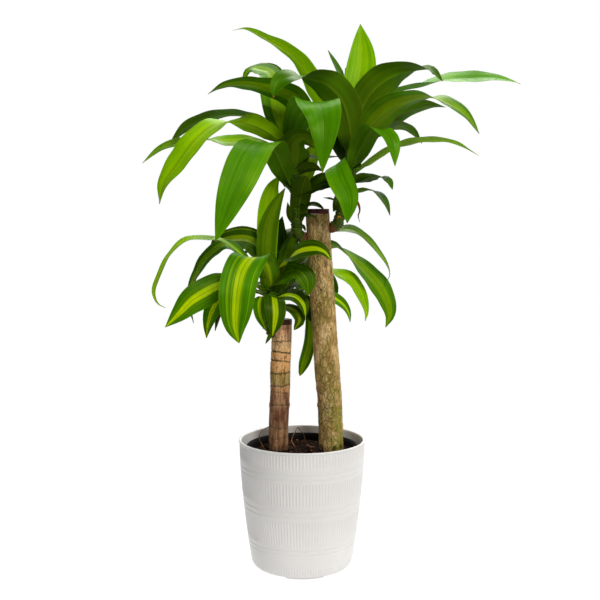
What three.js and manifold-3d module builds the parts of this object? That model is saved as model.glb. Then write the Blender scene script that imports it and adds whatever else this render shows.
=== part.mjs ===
// A potted corn plant: two bare canes of different heights in a fluted round planter, with four leafy shoots.
// Millimetres, +Z up, seen from -Y. Z = 0 is the floor, and X = Y = 0 is the middle of the plant's footprint.

import * as THREE from "three";
import { mergeVertices } from "three/addons/utils/BufferGeometryUtils.js";
import Module from "manifold-3d";

const wasm = await Module();
wasm.setup();

// ---------- driving dimensions ----------

// The planter stands to the left of the middle, because the longest leaves reach out to the right.
const PLANTER_AXIS = new THREE.Vector2(-54, 0);

const GAP = 0.3; // between pieces that touch
const RIM_RADIUS = 111;
const PLANTER_HEIGHT = 230;
const LIP_HEIGHT = 4;
const LIP_OVERHANG = 1;
const BODY_TOP_RADIUS = RIM_RADIUS - LIP_OVERHANG;
const BODY_FOOT_RADIUS = 90.2; // where the wall begins to round in under the planter
const BODY_FOOT_HEIGHT = 20;
const WALL_CURVE = 1.68; // 1 would make the wall straight
const BASE_RADIUS = 82;
const BASE_HEIGHT = 7; // underside, clear of the floor
const PLANTER_WALL = 3;
const GROOVE_HEIGHTS = [48.7, 56.5, 116.7, 126.3, 180.7, 189.8];
const GROOVE_DEPTH = 1;
const GROOVE_HALF_WIDTH = 2;
const INNER_HEIGHTS = [225, 130, BODY_FOOT_HEIGHT]; // where the inside of the wall bends

const FOOT_COUNT = 4;
const FOOT_ARC = 62; // degrees
const FOOT_TURN = 4.5; // degrees, from straight ahead to the right
const FOOT_OUTER_RADIUS = 71;
const FOOT_INNER_RADIUS = 63;

const POT_RIM_RADIUS = 98;
const POT_TOP_RADIUS = 95.5;
const POT_BASE_RADIUS = 72;
const POT_RIM_HEIGHT = 218; // above the floor, as it stands in the planter
const POT_RIM_DEPTH = 6;
const POT_WALL = 1.5;
const POT_FLOOR = BASE_HEIGHT + PLANTER_WALL + GAP;

const SOIL_EDGE_HEIGHT = 204;
const SOIL_CROWN = 4; // how much higher the middle is

const TALL_CANE_TOP = 624;
const SHORT_CANE_TOP = 431;
const WAX_TALL_DEPTH = 8;
const WAX_SHORT_DEPTH = 8;
const WAX_OVERHANG = 0.6;

const BLADE_THICKNESS = 0.9;
const BLADE_GUTTER = 0.16; // depth of the gutter along the midrib, as a part of the half width
const BLADE_CLASP = 0.42; // width at the root, as a part of the full width
const BLADE_PEAK = 0.45; // where along the blade it is widest
const BLADE_TAPER = 2.4; // the higher, the later the blade narrows to its tip
const BLADE_TIP = 1.4;
const BLADE_TIGHTEST = 0.7; // half width where a blade turns sideways, as a part of the turn's radius
const CURVE_STEP = 0.02;
const NARROW_BLADE = 30; // a blade under this width is flat
const SPAN_LENGTH = 46; // between the cross-sections of a long blade
const MIN_SPANS = 4;
const MAX_SPANS = 9;

const FINEST_DETAIL = 0.08;
const SAME_PLACE = 1e-3; // corners nearer than this are one
const SPARE_OFFSET = 0.02;
const ROUND_SIDES = 36; // planter, pot and soil
const CANE_SIDES = 20;
const STEM_SIDES = 9;

// The point that the plant is looked at from, which the marks below are lined up from.
const EYE = new THREE.Vector3(-3.5, -1706, 631);

// ---------- canes and stems ----------
// A mark is [x, z, y, radius]. x and z are where it shows on the upright plane through the planter's axis,
// seen from EYE, and y is how far behind that plane it lies. x is counted from the planter's axis.

const TALL_CANE = [
  [53, 90, 8, 21.5],
  [52, 190, 8, 21.5],
  [51, 232, 8, 21.4],
  [48.5, 303, 8, 21.4],
  [44.5, 345, 8, 22.2],
  [40.5, 410, 8, 21.4],
  [35.5, 480, 8, 21.6],
  [31.5, 545, 8, 20.8],
  [28, 600, 8, 20.6],
  [26.5, 630, 8, 20.4],
];

const SHORT_CANE = [
  [-43, 90, 14, 17.6],
  [-42, 200, 14, 17.6],
  [-41, 262, 14, 17.4],
  [-38.5, 312, 14, 17.4],
  [-38, 352, 14, 18],
  [-36.5, 385, 14, 17.5],
  [-35, 436, 14, 17.6],
];

const STEMS = {
  tall_left: [
    [14, 583, 4, 9],
    [3, 583, 0, 10.5],
    [-8, 592, -4, 10.5],
    [-10, 620, -6, 9.6],
    [-10, 655, -7, 10],
    [-14, 695, -8, 12.5],
    [-18, 735, -9, 14],
    [-21, 766, -9, 8],
  ],
  tall_right: [
    [42, 598, 7, 9],
    [55, 602, 5, 10.5],
    [64, 614, 4, 10],
    [69, 640, 3, 9.2],
    [76, 670, 2, 10],
    [84, 705, 1, 12.5],
    [89, 745, 0, 14],
    [91, 784, 0, 8],
  ],
  short_left: [
    [-42, 412, 10, 6.5],
    [-54, 418, 4, 8],
    [-60, 436, -3, 8],
    [-57, 462, -8, 10],
    [-52, 490, -10, 12],
    [-51, 514, -10, 8],
  ],
  short_right: [
    [-37, 416, 26, 6],
    [-41, 422, 36, 7.5],
    [-44, 444, 41, 7.5],
    [-42, 474, 41, 9.5],
    [-38, 502, 40, 10],
    [-37, 520, 39, 7],
  ],
};

// ---------- leaves ----------
// A leaf is [width, marks, peak, taper], from its root in the stem to its tip. A mark is [x, z, y] or
// [x, z, y, turn], placed as above. turn is in degrees: 0 shows the leaf's upper face to EYE and 180 its
// underside, 90 stands it on edge with the upper face to the right of the way it grows, and -90 to the left.
// Without a turn the blade lies level across the way it reaches.

const LEAVES = {
  tall_right: [
    [54, [[88, 765, 4], [94, 828, 12, 0], [102, 885, 24, 0], [99, 945, 32, 5]]],
    [44, [[84, 755, 6], [52, 794, 18, 158], [22, 840, 28, 150], [-10, 888, 32, 124], [-50, 915, 36, 116],
      [-92, 936, 38, 110], [-118, 935, 40, 80]]],
    [58, [[87, 705, -5], [83, 760, -28, 176], [70, 812, -42, 166], [44, 842, -54, 152], [14, 854, -63, 116],
      [-10, 859, -70, 76], [-32, 854, -75, 40], [-45, 840, -79, 14], [-49, 822, -81, 10]], 0.5, 3],
    [26, [[88, 770, 8], [76, 832, 34, 116], [63, 866, 42, 60], [44, 902, 46, 50]]],
    [22, [[88, 772, 8], [80, 825, 40, 30], [74, 872, 46, 30]]],
    [62, [[90, 760, 0], [106, 811, -8, -170], [132, 843, -16, -160], [164, 861, -22, -132],
      [198, 868, -20, -98], [222, 868, -14, -62], [240, 850, -8, -44]]],
    [46, [[92, 768, 6], [132, 812, 18, -120], [168, 833, 28, -104], [204, 841, 36, -94],
      [238, 851, 44, -72], [280, 855, 54, -62], [322, 856, 62, -64], [354, 851, 68, -70],
      [373, 845, 70, -80]], 0.6, 2.2],
    [52, [[88, 722, -6], [106, 758, -32, -170], [133, 791, -50, -162], [166, 812, -64, -132],
      [212, 823, -74, -100], [246, 815, -80, -66], [280, 794, -85, -60], [304, 761, -87, -55]]],
    [48, [[90, 735, 4], [136, 770, 12, -130], [166, 792, 18, -128], [196, 804, 22, -126],
      [222, 808, 25, -118], [246, 806, 26, -106]]],
    [42, [[88, 735, 8], [136, 765, 32, -104], [168, 775, 40, -114], [190, 764, 44, -118],
      [206, 744, 46, -112]]],
    [40, [[84, 688, 0], [118, 712, -2, -112], [158, 736, 0, -104], [195, 747, 0, -106], [230, 749, 0, -106],
      [264, 744, 0, -104], [304, 724, 0, -95]]],
    [40, [[82, 692, -6], [98, 732, -34, 180], [117, 766, -62, -150], [141, 765, -84, -60],
      [156, 745, -96, -28], [160, 706, -102, -22]]],
    [40, [[80, 672, -5], [104, 682, -26, -122], [120, 688, -36, -112], [134, 687, -42, -92],
      [147, 684, -46, -60], [156, 666, -50, -50]]],
    [32, [[74, 654, -2], [98, 662, -20, -108], [118, 666, -28, -96], [133, 658, -34, -70],
      [145, 641, -38, -62], [152, 621, -40, -60]]],
    [42, [[80, 684, -6], [64, 704, -36, 180], [58, 708, -56], [66, 684, -84, 0], [80, 650, -94, 0],
      [78, 608, -98, 0]], 0.55],
    [17, [[72, 655, -2], [65, 662, -18, 60], [60, 648, -27, 10], [54, 630, -30, 0]]],
    [9, [[72, 650, -4], [62, 656, -15, 100], [50, 650, -21, 80], [36, 653, -24, 80]]],
    [46, [[88, 740, 8], [90, 800, 64], [93, 826, 110], [98, 796, 148], [101, 742, 164]]],
    [44, [[92, 742, 8], [112, 792, 55], [140, 806, 95], [150, 796, 130], [152, 782, 150]]],
    [42, [[86, 738, 8], [66, 786, 58], [54, 812, 104], [50, 806, 138], [46, 776, 162]]],
    [36, [[86, 700, 6], [92, 735, 50], [90, 745, 95], [84, 732, 125]]],
    [36, [[85, 702, 6], [70, 726, 22, 40], [61, 752, 38, 20], [58, 778, 52, 20]]],
  ],
  tall_left: [
    [66, [[-18, 745, -9], [-6, 788, -48, 180], [20, 814, -98], [36, 800, -140, 0], [38, 758, -158, 0],
      [35, 694, -162, 0]], 0.5, 1.6],
    [60, [[-21, 742, 2], [-38, 790, 16, 14], [-45, 832, 32, 20], [-52, 861, 50, 34], [-70, 869, 62, 52],
      [-88, 870, 68, 70], [-102, 852, 70, 20]]],
    [28, [[-17, 747, 3], [-24, 825, 58, 110], [-44, 866, 76, 40], [-64, 880, 84, 30]], 0.6, 5],
    [50, [[-17, 748, -3], [2, 790, 0, 174], [-14, 820, -10, 152], [-46, 834, -24, 134],
      [-80, 842, -40, 122], [-110, 845, -54, 116], [-137, 841, -64, 112], [-161, 828, -72, 106]], 0.5],
    [38, [[-22, 735, 0], [-62, 778, 8, 110], [-95, 792, 15, 104], [-130, 794, 20, 112],
      [-166, 786, 25, 122], [-200, 770, 28, 128], [-228, 743, 30, 126]], 0.6],
    [48, [[-20, 732, -6], [-55, 762, -24, 160], [-88, 778, -44, 148], [-120, 781, -62, 96],
      [-150, 776, -76, 58], [-184, 750, -88, 46], [-215, 710, -96, 40], [-239, 675, -98, 45],
      [-246, 641, -96, 60]], 0.6],
    [36, [[-18, 718, 0], [-60, 740, 6, 70], [-95, 748, 11, 60], [-130, 748, 15, 56], [-166, 751, 20, 96],
      [-205, 747, 24, 118], [-242, 736, 26, 124], [-275, 711, 28, 120]]],
    [60, [[-12, 655, -8], [-34, 702, -26, 172], [-50, 737, -56, 150], [-71, 744, -90, 60],
      [-91, 722, -124, 8], [-108, 688, -144, 0], [-123, 652, -154, 0], [-136, 616, -161, 0],
      [-150, 576, -164, 0]], 0.6, 1.9],
    [66, [[-14, 672, -8], [-20, 714, -28, 180], [-14, 746, -44, 180], [4, 755, -58, -160],
      [24, 736, -68, -130]], 0.5, 1.8],
    [13, [[-12, 655, -4], [-36, 686, -14, 70], [-52, 704, -16, 60], [-63, 721, -17, 60]]],
    [22, [[-12, 688, -8], [8, 703, -22, -150], [22, 704, -30, -140], [36, 697, -34, -120]]],
    [40, [[-9, 650, -6], [16, 668, -18, -60], [38, 680, -28, -30], [66, 675, -36, -14]]],
    [34, [[-9, 652, -2], [3, 690, -2, 178], [13, 722, -2, 176], [23, 744, -2, 172]], 0.6, 3],
    [36, [[-9, 598, -5], [-6, 632, -16, 178], [0, 668, -23, 176], [8, 690, -26, 168]], 0.7, 3],
    [12, [[-10, 598, -5], [-21, 622, -12, 170], [-25, 644, -14, 170]]],
    [7, [[-9, 600, -5], [-18, 590, -17], [-28, 570, -24], [-46, 553, -30]]],
    [22, [[-14, 698, 0], [22, 716, 14, -70], [48, 721, 18, -75], [68, 722, 18, -85]]],
    [17, [[-13, 690, -8], [0, 716, -16, -60], [15, 722, -20, -60], [32, 717, -24, -70]]],
    [9, [[-9, 628, -6], [8, 641, -20, -80], [24, 643, -24, -70], [38, 634, -26, -60]]],
    [8, [[-9, 612, -5], [6, 625, -19, -70], [22, 618, -24, -60]]],
    [46, [[-20, 740, 5], [-34, 790, 56], [-40, 822, 104], [-44, 800, 142], [-46, 762, 163]]],
    [44, [[-18, 738, 4], [-4, 782, 58], [6, 812, 100], [14, 790, 138], [18, 748, 160]]],
    [40, [[-22, 730, 2], [-58, 770, 50], [-82, 768, 86], [-92, 766, 108]]],
    [36, [[-16, 700, 2], [-28, 728, 50], [-30, 736, 95], [-32, 716, 125]]],
    [26, [[-20, 745, -6], [-14, 790, -20, 170], [-8, 815, -28, 170]]],
  ],
  short_left: [
    [34, [[-53, 490, -6], [-62, 545, -20, 172], [-59, 598, -27, 176], [-46, 638, -31, 180],
      [-29, 669, -33, 180]]],
    [38, [[-52, 492, -6], [-60, 560, 0, 10], [-58, 625, 4, 0], [-52, 666, 10, 0], [-38, 690, 16, 0]], 0.6],
    [54, [[-54, 495, -8], [-68, 556, 4, 30], [-88, 578, 12, 36], [-118, 581, 14, 40], [-144, 575, 12, 38],
      [-160, 556, 10, 36]], 0.5, 2.4],
    [27, [[-55, 500, -12], [-98, 546, -32, 84], [-135, 576, -46, 76], [-170, 583, -53, 100],
      [-205, 580, -58, 72], [-232, 557, -62, 80], [-247, 528, -63, 50], [-257, 500, -62, 36],
      [-254, 475, -60, 36], [-240, 461, -58, 50]]],
    [34, [[-54, 490, -10], [-105, 546, -14, 60], [-138, 561, -16, 48], [-160, 552, -19, 30],
      [-175, 530, -23, 26], [-188, 504, -26, 26], [-196, 470, -28, 34], [-189, 434, -28, 40]]],
    [46, [[-56, 484, -12], [-100, 508, -42, 80], [-142, 500, -64, 50], [-175, 486, -74, 24],
      [-205, 467, -80, 16], [-239, 431, -84, 10]], 0.5, 1.9],
    [36, [[-56, 480, -12], [-108, 500, -30, 70], [-140, 482, -40, 34], [-156, 457, -46, 16],
      [-164, 432, -49, 10], [-167, 408, -50, 10]]],
    [26, [[-55, 478, -6], [-104, 494, 4, 60], [-138, 468, 6, 50], [-152, 420, 6, 50]]],
    [60, [[-53, 488, -14], [-62, 532, -48, 176], [-84, 549, -82], [-102, 531, -112, 0],
      [-111, 501, -130, 0], [-115, 464, -137, 0], [-116, 428, -139, 0], [-110, 399, -136, 0]], 0.6, 3],
    [28, [[-54, 476, -12], [-59, 505, -26, 176], [-68, 534, -36, 172]]],
    [22, [[-50, 478, -14], [-43, 505, -25, -176], [-31, 538, -34, -172]]],
    [44, [[-50, 498, -14], [-36, 530, -30, -140], [-10, 556, -48, -60], [18, 564, -62, -36],
      [38, 559, -70, -34], [51, 544, -74, -30]]],
    [46, [[-50, 494, -14], [-32, 519, -28, -40], [-8, 526, -36, -26], [8, 510, -42, -16],
      [11, 482, -44, -10]]],
    [37, [[-55, 460, -12], [-50, 478, -30, 176], [-48, 475, -44], [-46, 453, -56, 0], [-48, 432, -59, 0],
      [-52, 411, -59, 0]], 0.5],
    [22, [[-59, 462, -8], [-68, 482, -18, 140], [-74, 472, -24], [-73, 448, -26, 20], [-62, 420, -25, 20]]],
    [18, [[-60, 446, -3], [-76, 466, -10, 80], [-88, 460, -14, 64], [-99, 443, -16, 56]]],
    [34, [[-52, 474, -12], [-28, 484, -24, -56], [-8, 480, -30, -44], [3, 465, -33, -34],
      [6, 445, -34, -30]]],
    [24, [[-55, 462, -8], [-24, 461, -20, -50], [-9, 453, -25, -26], [-4, 439, -27, -14],
      [-14, 422, -26, 10]], 0.6],
    [40, [[-53, 486, -6], [-58, 535, 14], [-62, 560, 18, 30], [-84, 566, 22, 60], [-104, 552, 24, 60]]],
    [32, [[-54, 478, -5], [-76, 502, 22], [-98, 500, 48], [-104, 480, 62]]],
  ],
  short_right: [
    [32, [[-37, 498, 40], [-2, 552, 50, -112], [38, 588, 55, -122], [74, 598, 58, -114],
      [102, 592, 59, -94], [130, 563, 60, -76], [147, 540, 60, -68], [152, 518, 59, -76],
      [141, 503, 58, -70]]],
    [46, [[-38, 494, 41], [4, 548, 56, -110], [50, 570, 64, -112], [84, 549, 67, -70], [112, 523, 68, -48],
      [135, 497, 66, -32], [149, 470, 64, -24], [153, 448, 62, -20], [146, 427, 61, -20]], 0.62, 2.6],
    [30, [[-39, 488, 41], [10, 524, 48, -100], [55, 526, 54, -108], [84, 511, 57, -60], [99, 487, 57, -42],
      [110, 464, 56, -34], [108, 439, 55, -40]], 0.6],
    [28, [[-40, 480, 41], [15, 498, 46, -70], [54, 479, 51, -48], [72, 465, 52, -40], [80, 452, 52, -36],
      [83, 437, 51, -36]]],
    [26, [[-39, 486, 41], [14, 528, 64, -80], [44, 520, 74, -50], [57, 496, 76, -40], [56, 466, 74, -40]]],
    [20, [[-40, 478, 41], [-4, 492, 50, -90], [12, 466, 54, -20], [15, 420, 54, -10], [10, 385, 53, -8],
      [-4, 341, 52, -6]], 0.72, 2.6],
    [24, [[-41, 474, 41], [-10, 490, 48, -80], [4, 478, 50, -40], [10, 458, 50, -20], [15, 436, 48, -10]]],
    [42, [[-38, 498, 40], [-42, 545, 82], [-45, 562, 114], [-48, 540, 144], [-50, 492, 162]]],
    [40, [[-37, 494, 41], [-10, 540, 80], [6, 556, 114], [14, 534, 142], [18, 490, 160]]],
    [38, [[-39, 490, 41], [-58, 528, 80], [-76, 534, 112], [-88, 514, 138], [-92, 482, 152]]],
    [34, [[-40, 482, 41], [-14, 505, 80], [-6, 504, 112], [-2, 480, 132]]],
    [34, [[-41, 478, 41], [-44, 500, 78], [-52, 494, 108], [-56, 470, 126]]],
    [36, [[-37, 502, 39], [-30, 555, 62], [-22, 592, 82], [-14, 600, 108]]],
    [36, [[-38, 500, 38], [-42, 548, 50, 20], [-40, 590, 60, 10], [-34, 620, 68, 10]]],
    [32, [[-38, 500, 36], [-28, 538, 42, 10], [-20, 568, 46, 0], [-9, 594, 48, 0]], 0.5, 3],
  ],
};

const LEAF_GREEN = { color: 0x3f7d0a, roughness: 0.45, metalness: 0 };
const STRIPED_GREEN = { color: 0x6f9f0c, roughness: 0.42, metalness: 0 };
const PLANTER_WHITE = { color: 0xdedcd8, roughness: 0.5, metalness: 0 };
const POT_BLACK = { color: 0x121212, roughness: 0.55, metalness: 0 };
const SOIL_BROWN = { color: 0x2a1a12, roughness: 1, metalness: 0 };
const BARK_TAN = { color: 0xa98a5c, roughness: 0.85, metalness: 0 };
const BARK_ORANGE = { color: 0xa9713f, roughness: 0.85, metalness: 0 };
const WAX_RED = { color: 0x4a1714, roughness: 0.4, metalness: 0 };

// ---------- solids ----------

// A geometry's corners, drawn together where they coincide, and its faces, without those that have no area.
function cornersAndFaces(geometry) {
  const bare = new THREE.BufferGeometry().setAttribute("position", geometry.getAttribute("position"));
  bare.setIndex(geometry.index);
  const merged = mergeVertices(bare, SAME_PLACE);
  const numbers = Array.from(merged.index.array);
  const faces = [];
  for (let i = 0; i < numbers.length; i += 3) {
    const [a, b, c] = numbers.slice(i, i + 3);
    if (a !== b && b !== c && c !== a) faces.push([a, b, c]);
  }
  return { positions: Array.from(merged.attributes.position.array), faces };
}

// A closed geometry as a solid.
function solidOf(geometry) {
  const { positions, faces } = cornersAndFaces(geometry);
  return new wasm.Manifold(
    new wasm.Mesh({
      numProp: 3,
      vertProperties: new Float32Array(positions),
      triVerts: new Uint32Array(faces.flat()),
    }),
  );
}

// The first edge that more than two faces meet at: its two ends, and the faces beside its second use.
function doubledEdge(faces) {
  const uses = new Map();
  faces.forEach((face, number) => {
    face.forEach((from, k) => {
      const key = `${from} ${face[(k + 1) % 3]}`;
      uses.set(key, [...(uses.get(key) ?? []), number]);
    });
  });
  for (const [key, numbers] of uses) {
    if (numbers.length < 2) continue;
    const [from, to] = key.split(" ").map(Number);
    return { from, to, sides: [numbers[1], uses.get(`${to} ${from}`)[1]] };
  }
  return null;
}

// Blades that meet can leave an edge with four faces. Two of them then get a corner of their own, a hair to
// the side of the edge's middle.
function partDoubledEdges({ positions, faces }) {
  const place = (number) => new THREE.Vector3().fromArray(positions, number * 3);
  for (let edge = doubledEdge(faces); edge; edge = doubledEdge(faces)) {
    const { from, to, sides } = edge;
    const middle = place(from).lerp(place(to), 0.5);
    const spare = positions.length / 3;
    const far = sides.map((side) => faces[side].find((number) => number !== from && number !== to));
    const aside = place(far[0]).add(place(far[1])).addScaledVector(middle, -2).setLength(SPARE_OFFSET);
    positions.push(...middle.add(aside).toArray());
    for (const side of sides) {
      const face = faces[side];
      faces[side] = face.map((number) => (number === to ? spare : number));
      faces.push(face.map((number) => (number === from ? spare : number)));
    }
  }
}

// A named mesh of a solid, without details finer than FINEST_DETAIL.
function meshOf(name, solid, finish) {
  const { vertProperties, triVerts } = mainBody(solid.simplify(FINEST_DETAIL)).getMesh();
  const joined = new THREE.BufferGeometry();
  joined.setAttribute("position", new THREE.BufferAttribute(new Float32Array(vertProperties), 3));
  joined.setIndex(new THREE.BufferAttribute(new Uint32Array(triVerts), 1));
  const body = cornersAndFaces(joined);
  partDoubledEdges(body);
  const geometry = new THREE.BufferGeometry();
  geometry.setAttribute("position", new THREE.Float32BufferAttribute(body.positions, 3));
  geometry.setIndex(body.faces.flat());
  geometry.computeVertexNormals();
  const mesh = new THREE.Mesh(geometry, new THREE.MeshStandardMaterial(finish));
  mesh.name = name;
  return mesh;
}

// A solid of revolution about the Z axis, from [radius, height] pairs that go round the section.
function turned(section) {
  const outline = section.map(([radius, height]) => new THREE.Vector2(radius, height));
  return solidOf(new THREE.LatheGeometry([...outline, outline[0]], ROUND_SIDES).rotateX(Math.PI / 2));
}

// Rings of points, alike in number, joined into a closed skin. Each ring turns the same way about its path.
// Its second half is split into triangles as the first half is, seen through it, so that thin walls match.
function skinned(rings) {
  const size = rings[0].length;
  const faces = [];
  for (let ring = 0; ring + 1 < rings.length; ring++) {
    for (let k = 0; k < size; k++) {
      const here = ring * size + k;
      const beside = ring * size + ((k + 1) % size);
      if (k < size / 2) faces.push(here, beside, beside + size, here, beside + size, here + size);
      else faces.push(here, beside, here + size, beside, beside + size, here + size);
    }
  }
  const last = (rings.length - 1) * size;
  for (let k = 1; k + 1 < size; k++) {
    faces.push(0, k + 1, k);
    faces.push(last, last + k, last + k + 1);
  }
  const geometry = new THREE.BufferGeometry().setFromPoints(rings.flat());
  geometry.setIndex(faces);
  return solidOf(geometry);
}

// The main body of a solid, without the hollows that close up where blades join.
function mainBody(solid) {
  return solid.decompose().reduce((most, body) => (body.volume() > most.volume() ? body : most));
}

// ---------- marks ----------

// Where a mark lies: on the line from EYE through its place on the axis plane, at its own depth.
function placed([x, z, depth]) {
  const near = new THREE.Vector3(x, 0, z);
  return near.sub(EYE).multiplyScalar((depth - EYE.y) / -EYE.y).add(EYE);
}

function curveThrough(marks) {
  return new THREE.CatmullRomCurve3(marks.map(placed), false, "catmullrom", 0.5);
}

// A round cane or stem through its marks, whose fourth number is its radius there.
function caneSolid(marks, sides, ringsPerMark, extra = 0) {
  const curve = curveThrough(marks);
  const spans = marks.length - 1;
  const rings = [];
  for (let step = 0; step <= spans * ringsPerMark; step++) {
    const at = step / ringsPerMark;
    const low = Math.min(Math.floor(at), spans - 1);
    const radius = THREE.MathUtils.lerp(marks[low][3], marks[low + 1][3], at - low) + extra;
    const centre = curve.getPoint(at / spans);
    const along = curve.getTangent(at / spans);
    const side = new THREE.Vector3(1, 0, 0).addScaledVector(along, -along.x).normalize();
    const other = along.clone().cross(side);
    const ring = [];
    for (let k = 0; k < sides; k++) {
      const angle = (2 * Math.PI * k) / sides;
      ring.push(
        centre
          .clone()
          .addScaledVector(side, radius * Math.cos(angle))
          .addScaledVector(other, radius * Math.sin(angle)),
      );
    }
    rings.push(ring);
  }
  return skinned(rings);
}

// ---------- blades ----------

// Which way a blade lies across its midrib at each mark that fixes it, as [mark number, direction] pairs.
function crossings(marks, curve) {
  const points = marks.map(placed);
  const reach = points.at(-1).clone().sub(points[0]);
  const level = new THREE.Vector3(reach.y, -reach.x, 0).normalize();
  const found = [];
  marks.forEach(([, , , turn], number) => {
    if (turn === undefined) {
      if (number === 0) found.push([number, level]);
      return;
    }
    const along = curve.getTangent(number / (marks.length - 1));
    const sight = points[number].clone().sub(EYE).normalize();
    const right = sight.cross(along).normalize();
    const away = along.clone().cross(right);
    const angle = THREE.MathUtils.degToRad(turn);
    found.push([number, right.multiplyScalar(Math.cos(angle)).addScaledVector(away, Math.sin(angle))]);
  });
  if (found.length === 1) found.push([marks.length - 1, level]);
  return found;
}

function crossingAt(found, at, along) {
  const next = found.findIndex(([number]) => number >= at);
  const [after, ahead] = found[next < 0 ? found.length - 1 : next];
  const [before, behind] = next > 0 ? found[next - 1] : [after, ahead];
  const share = after > before ? (at - before) / (after - before) : 0;
  const across = behind.clone().lerp(ahead, share);
  return across.addScaledVector(along, -across.dot(along)).normalize();
}

// How sharply a curve turns sideways, in radians for each millimetre.
function turning(curve, at, across) {
  const low = Math.max(at - CURVE_STEP, 0);
  const high = Math.min(at + CURVE_STEP, 1);
  const change = curve.getTangent(high).sub(curve.getTangent(low));
  return Math.abs(change.dot(across)) / curve.getPoint(high).distanceTo(curve.getPoint(low));
}

// A blade's width at a part of its length, as a share of its full width.
function bladeOutline(part, peak, taper) {
  if (part < peak) {
    return BLADE_CLASP + (1 - BLADE_CLASP) * Math.sin((Math.PI / 2) * (part / peak));
  }
  return 1 - ((part - peak) / (1 - peak)) ** taper;
}

// One blade: a thin closed strip along its midrib, folded to a shallow gutter.
function bladeSolid([width, marks, peak = BLADE_PEAK, taper = BLADE_TAPER]) {
  const curve = curveThrough(marks);
  const found = crossings(marks, curve);
  const spans = THREE.MathUtils.clamp(Math.round(curve.getLength() / SPAN_LENGTH) + 2, MIN_SPANS, MAX_SPANS);
  const rings = [];
  for (let station = 0; station <= spans; station++) {
    const part = station / spans;
    const at = curve.getUtoTmapping(part);
    const centre = curve.getPoint(at);
    const along = curve.getTangent(at);
    const across = crossingAt(found, at * (marks.length - 1), along);
    const up = across.clone().cross(along);
    const wished = Math.max(width * bladeOutline(part, peak, taper), BLADE_TIP) / 2;
    const half = Math.min(wished, BLADE_TIGHTEST / turning(curve, at, across));
    const corner = (side, face) =>
      centre
        .clone()
        .addScaledVector(across, side * half)
        .addScaledVector(up, Math.abs(side) * half * BLADE_GUTTER + (face * BLADE_THICKNESS) / 2);
    const over = width < NARROW_BLADE ? [-1, 1] : [-1, 0, 1];
    const under = over.toReversed();
    rings.push([...over.map((side) => corner(side, 1)), ...under.map((side) => corner(side, -1))]);
  }
  return skinned(rings);
}

// ---------- sub-parts ----------

// The planter's outer radius at a height, on its gently curved wall.
function bodyRadius(height) {
  const share = (height - BODY_FOOT_HEIGHT) / (PLANTER_HEIGHT - LIP_HEIGHT - BODY_FOOT_HEIGHT);
  return BODY_TOP_RADIUS - (BODY_TOP_RADIUS - BODY_FOOT_RADIUS) * (1 - share) ** WALL_CURVE;
}

function roundedCorner(turns) {
  const corner = new THREE.QuadraticBezierCurve(
    new THREE.Vector2(BASE_RADIUS, BASE_HEIGHT),
    new THREE.Vector2(BODY_FOOT_RADIUS - 2.5, BASE_HEIGHT + 1),
    new THREE.Vector2(BODY_FOOT_RADIUS, BODY_FOOT_HEIGHT),
  );
  return corner.getPoints(turns).map((point) => [point.x, point.y]);
}

function groove(height) {
  return [
    [bodyRadius(height - GROOVE_HALF_WIDTH), height - GROOVE_HALF_WIDTH],
    [bodyRadius(height) - GROOVE_DEPTH, height],
    [bodyRadius(height + GROOVE_HALF_WIDTH), height + GROOVE_HALF_WIDTH],
  ];
}

function planterFoot(number) {
  const centre = THREE.MathUtils.degToRad(-90 + FOOT_TURN + (number * 360) / FOOT_COUNT);
  const half = THREE.MathUtils.degToRad(FOOT_ARC / 2);
  const outline = new THREE.Shape();
  outline.absarc(0, 0, FOOT_OUTER_RADIUS, centre - half, centre + half, false);
  outline.absarc(0, 0, FOOT_INNER_RADIUS, centre + half, centre - half, true);
  const height = BASE_HEIGHT + PLANTER_WALL / 2;
  const shape = { depth: height, bevelEnabled: false, curveSegments: 8 };
  return solidOf(new THREE.ExtrudeGeometry(outline, shape));
}

function planter() {
  const lipBottom = PLANTER_HEIGHT - LIP_HEIGHT;
  const floor = BASE_HEIGHT + PLANTER_WALL;
  const section = [
    [0, BASE_HEIGHT],
    ...roundedCorner(4),
    ...GROOVE_HEIGHTS.flatMap(groove),
    [BODY_TOP_RADIUS, lipBottom],
    [RIM_RADIUS, lipBottom + 1],
    [RIM_RADIUS, PLANTER_HEIGHT - 1],
    [RIM_RADIUS - 1, PLANTER_HEIGHT],
    [RIM_RADIUS - LIP_HEIGHT, PLANTER_HEIGHT],
    ...INNER_HEIGHTS.map((height) => [bodyRadius(height) - PLANTER_WALL, height]),
    [BASE_RADIUS + 2, floor],
    [0, floor],
  ];
  const feet = Array.from({ length: FOOT_COUNT }, (_, number) => planterFoot(number));
  return wasm.Manifold.union([turned(section), ...feet]);
}

// The pot's outer radius at a height, for its wall and for the soil inside it.
function potRadius(height) {
  const share = (height - POT_FLOOR) / (POT_RIM_HEIGHT - POT_RIM_DEPTH - POT_FLOOR);
  return THREE.MathUtils.lerp(POT_BASE_RADIUS, POT_TOP_RADIUS, share);
}

function growPot() {
  const shoulder = POT_RIM_HEIGHT - POT_RIM_DEPTH;
  return turned([
    [0, POT_FLOOR],
    [potRadius(POT_FLOOR), POT_FLOOR],
    [potRadius(shoulder), shoulder],
    [POT_RIM_RADIUS, shoulder],
    [POT_RIM_RADIUS, POT_RIM_HEIGHT],
    [POT_RIM_RADIUS - POT_WALL, POT_RIM_HEIGHT],
    [potRadius(shoulder) - POT_WALL, shoulder],
    [potRadius(POT_FLOOR) - POT_WALL, POT_FLOOR + POT_WALL],
    [0, POT_FLOOR + POT_WALL],
  ]);
}

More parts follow.
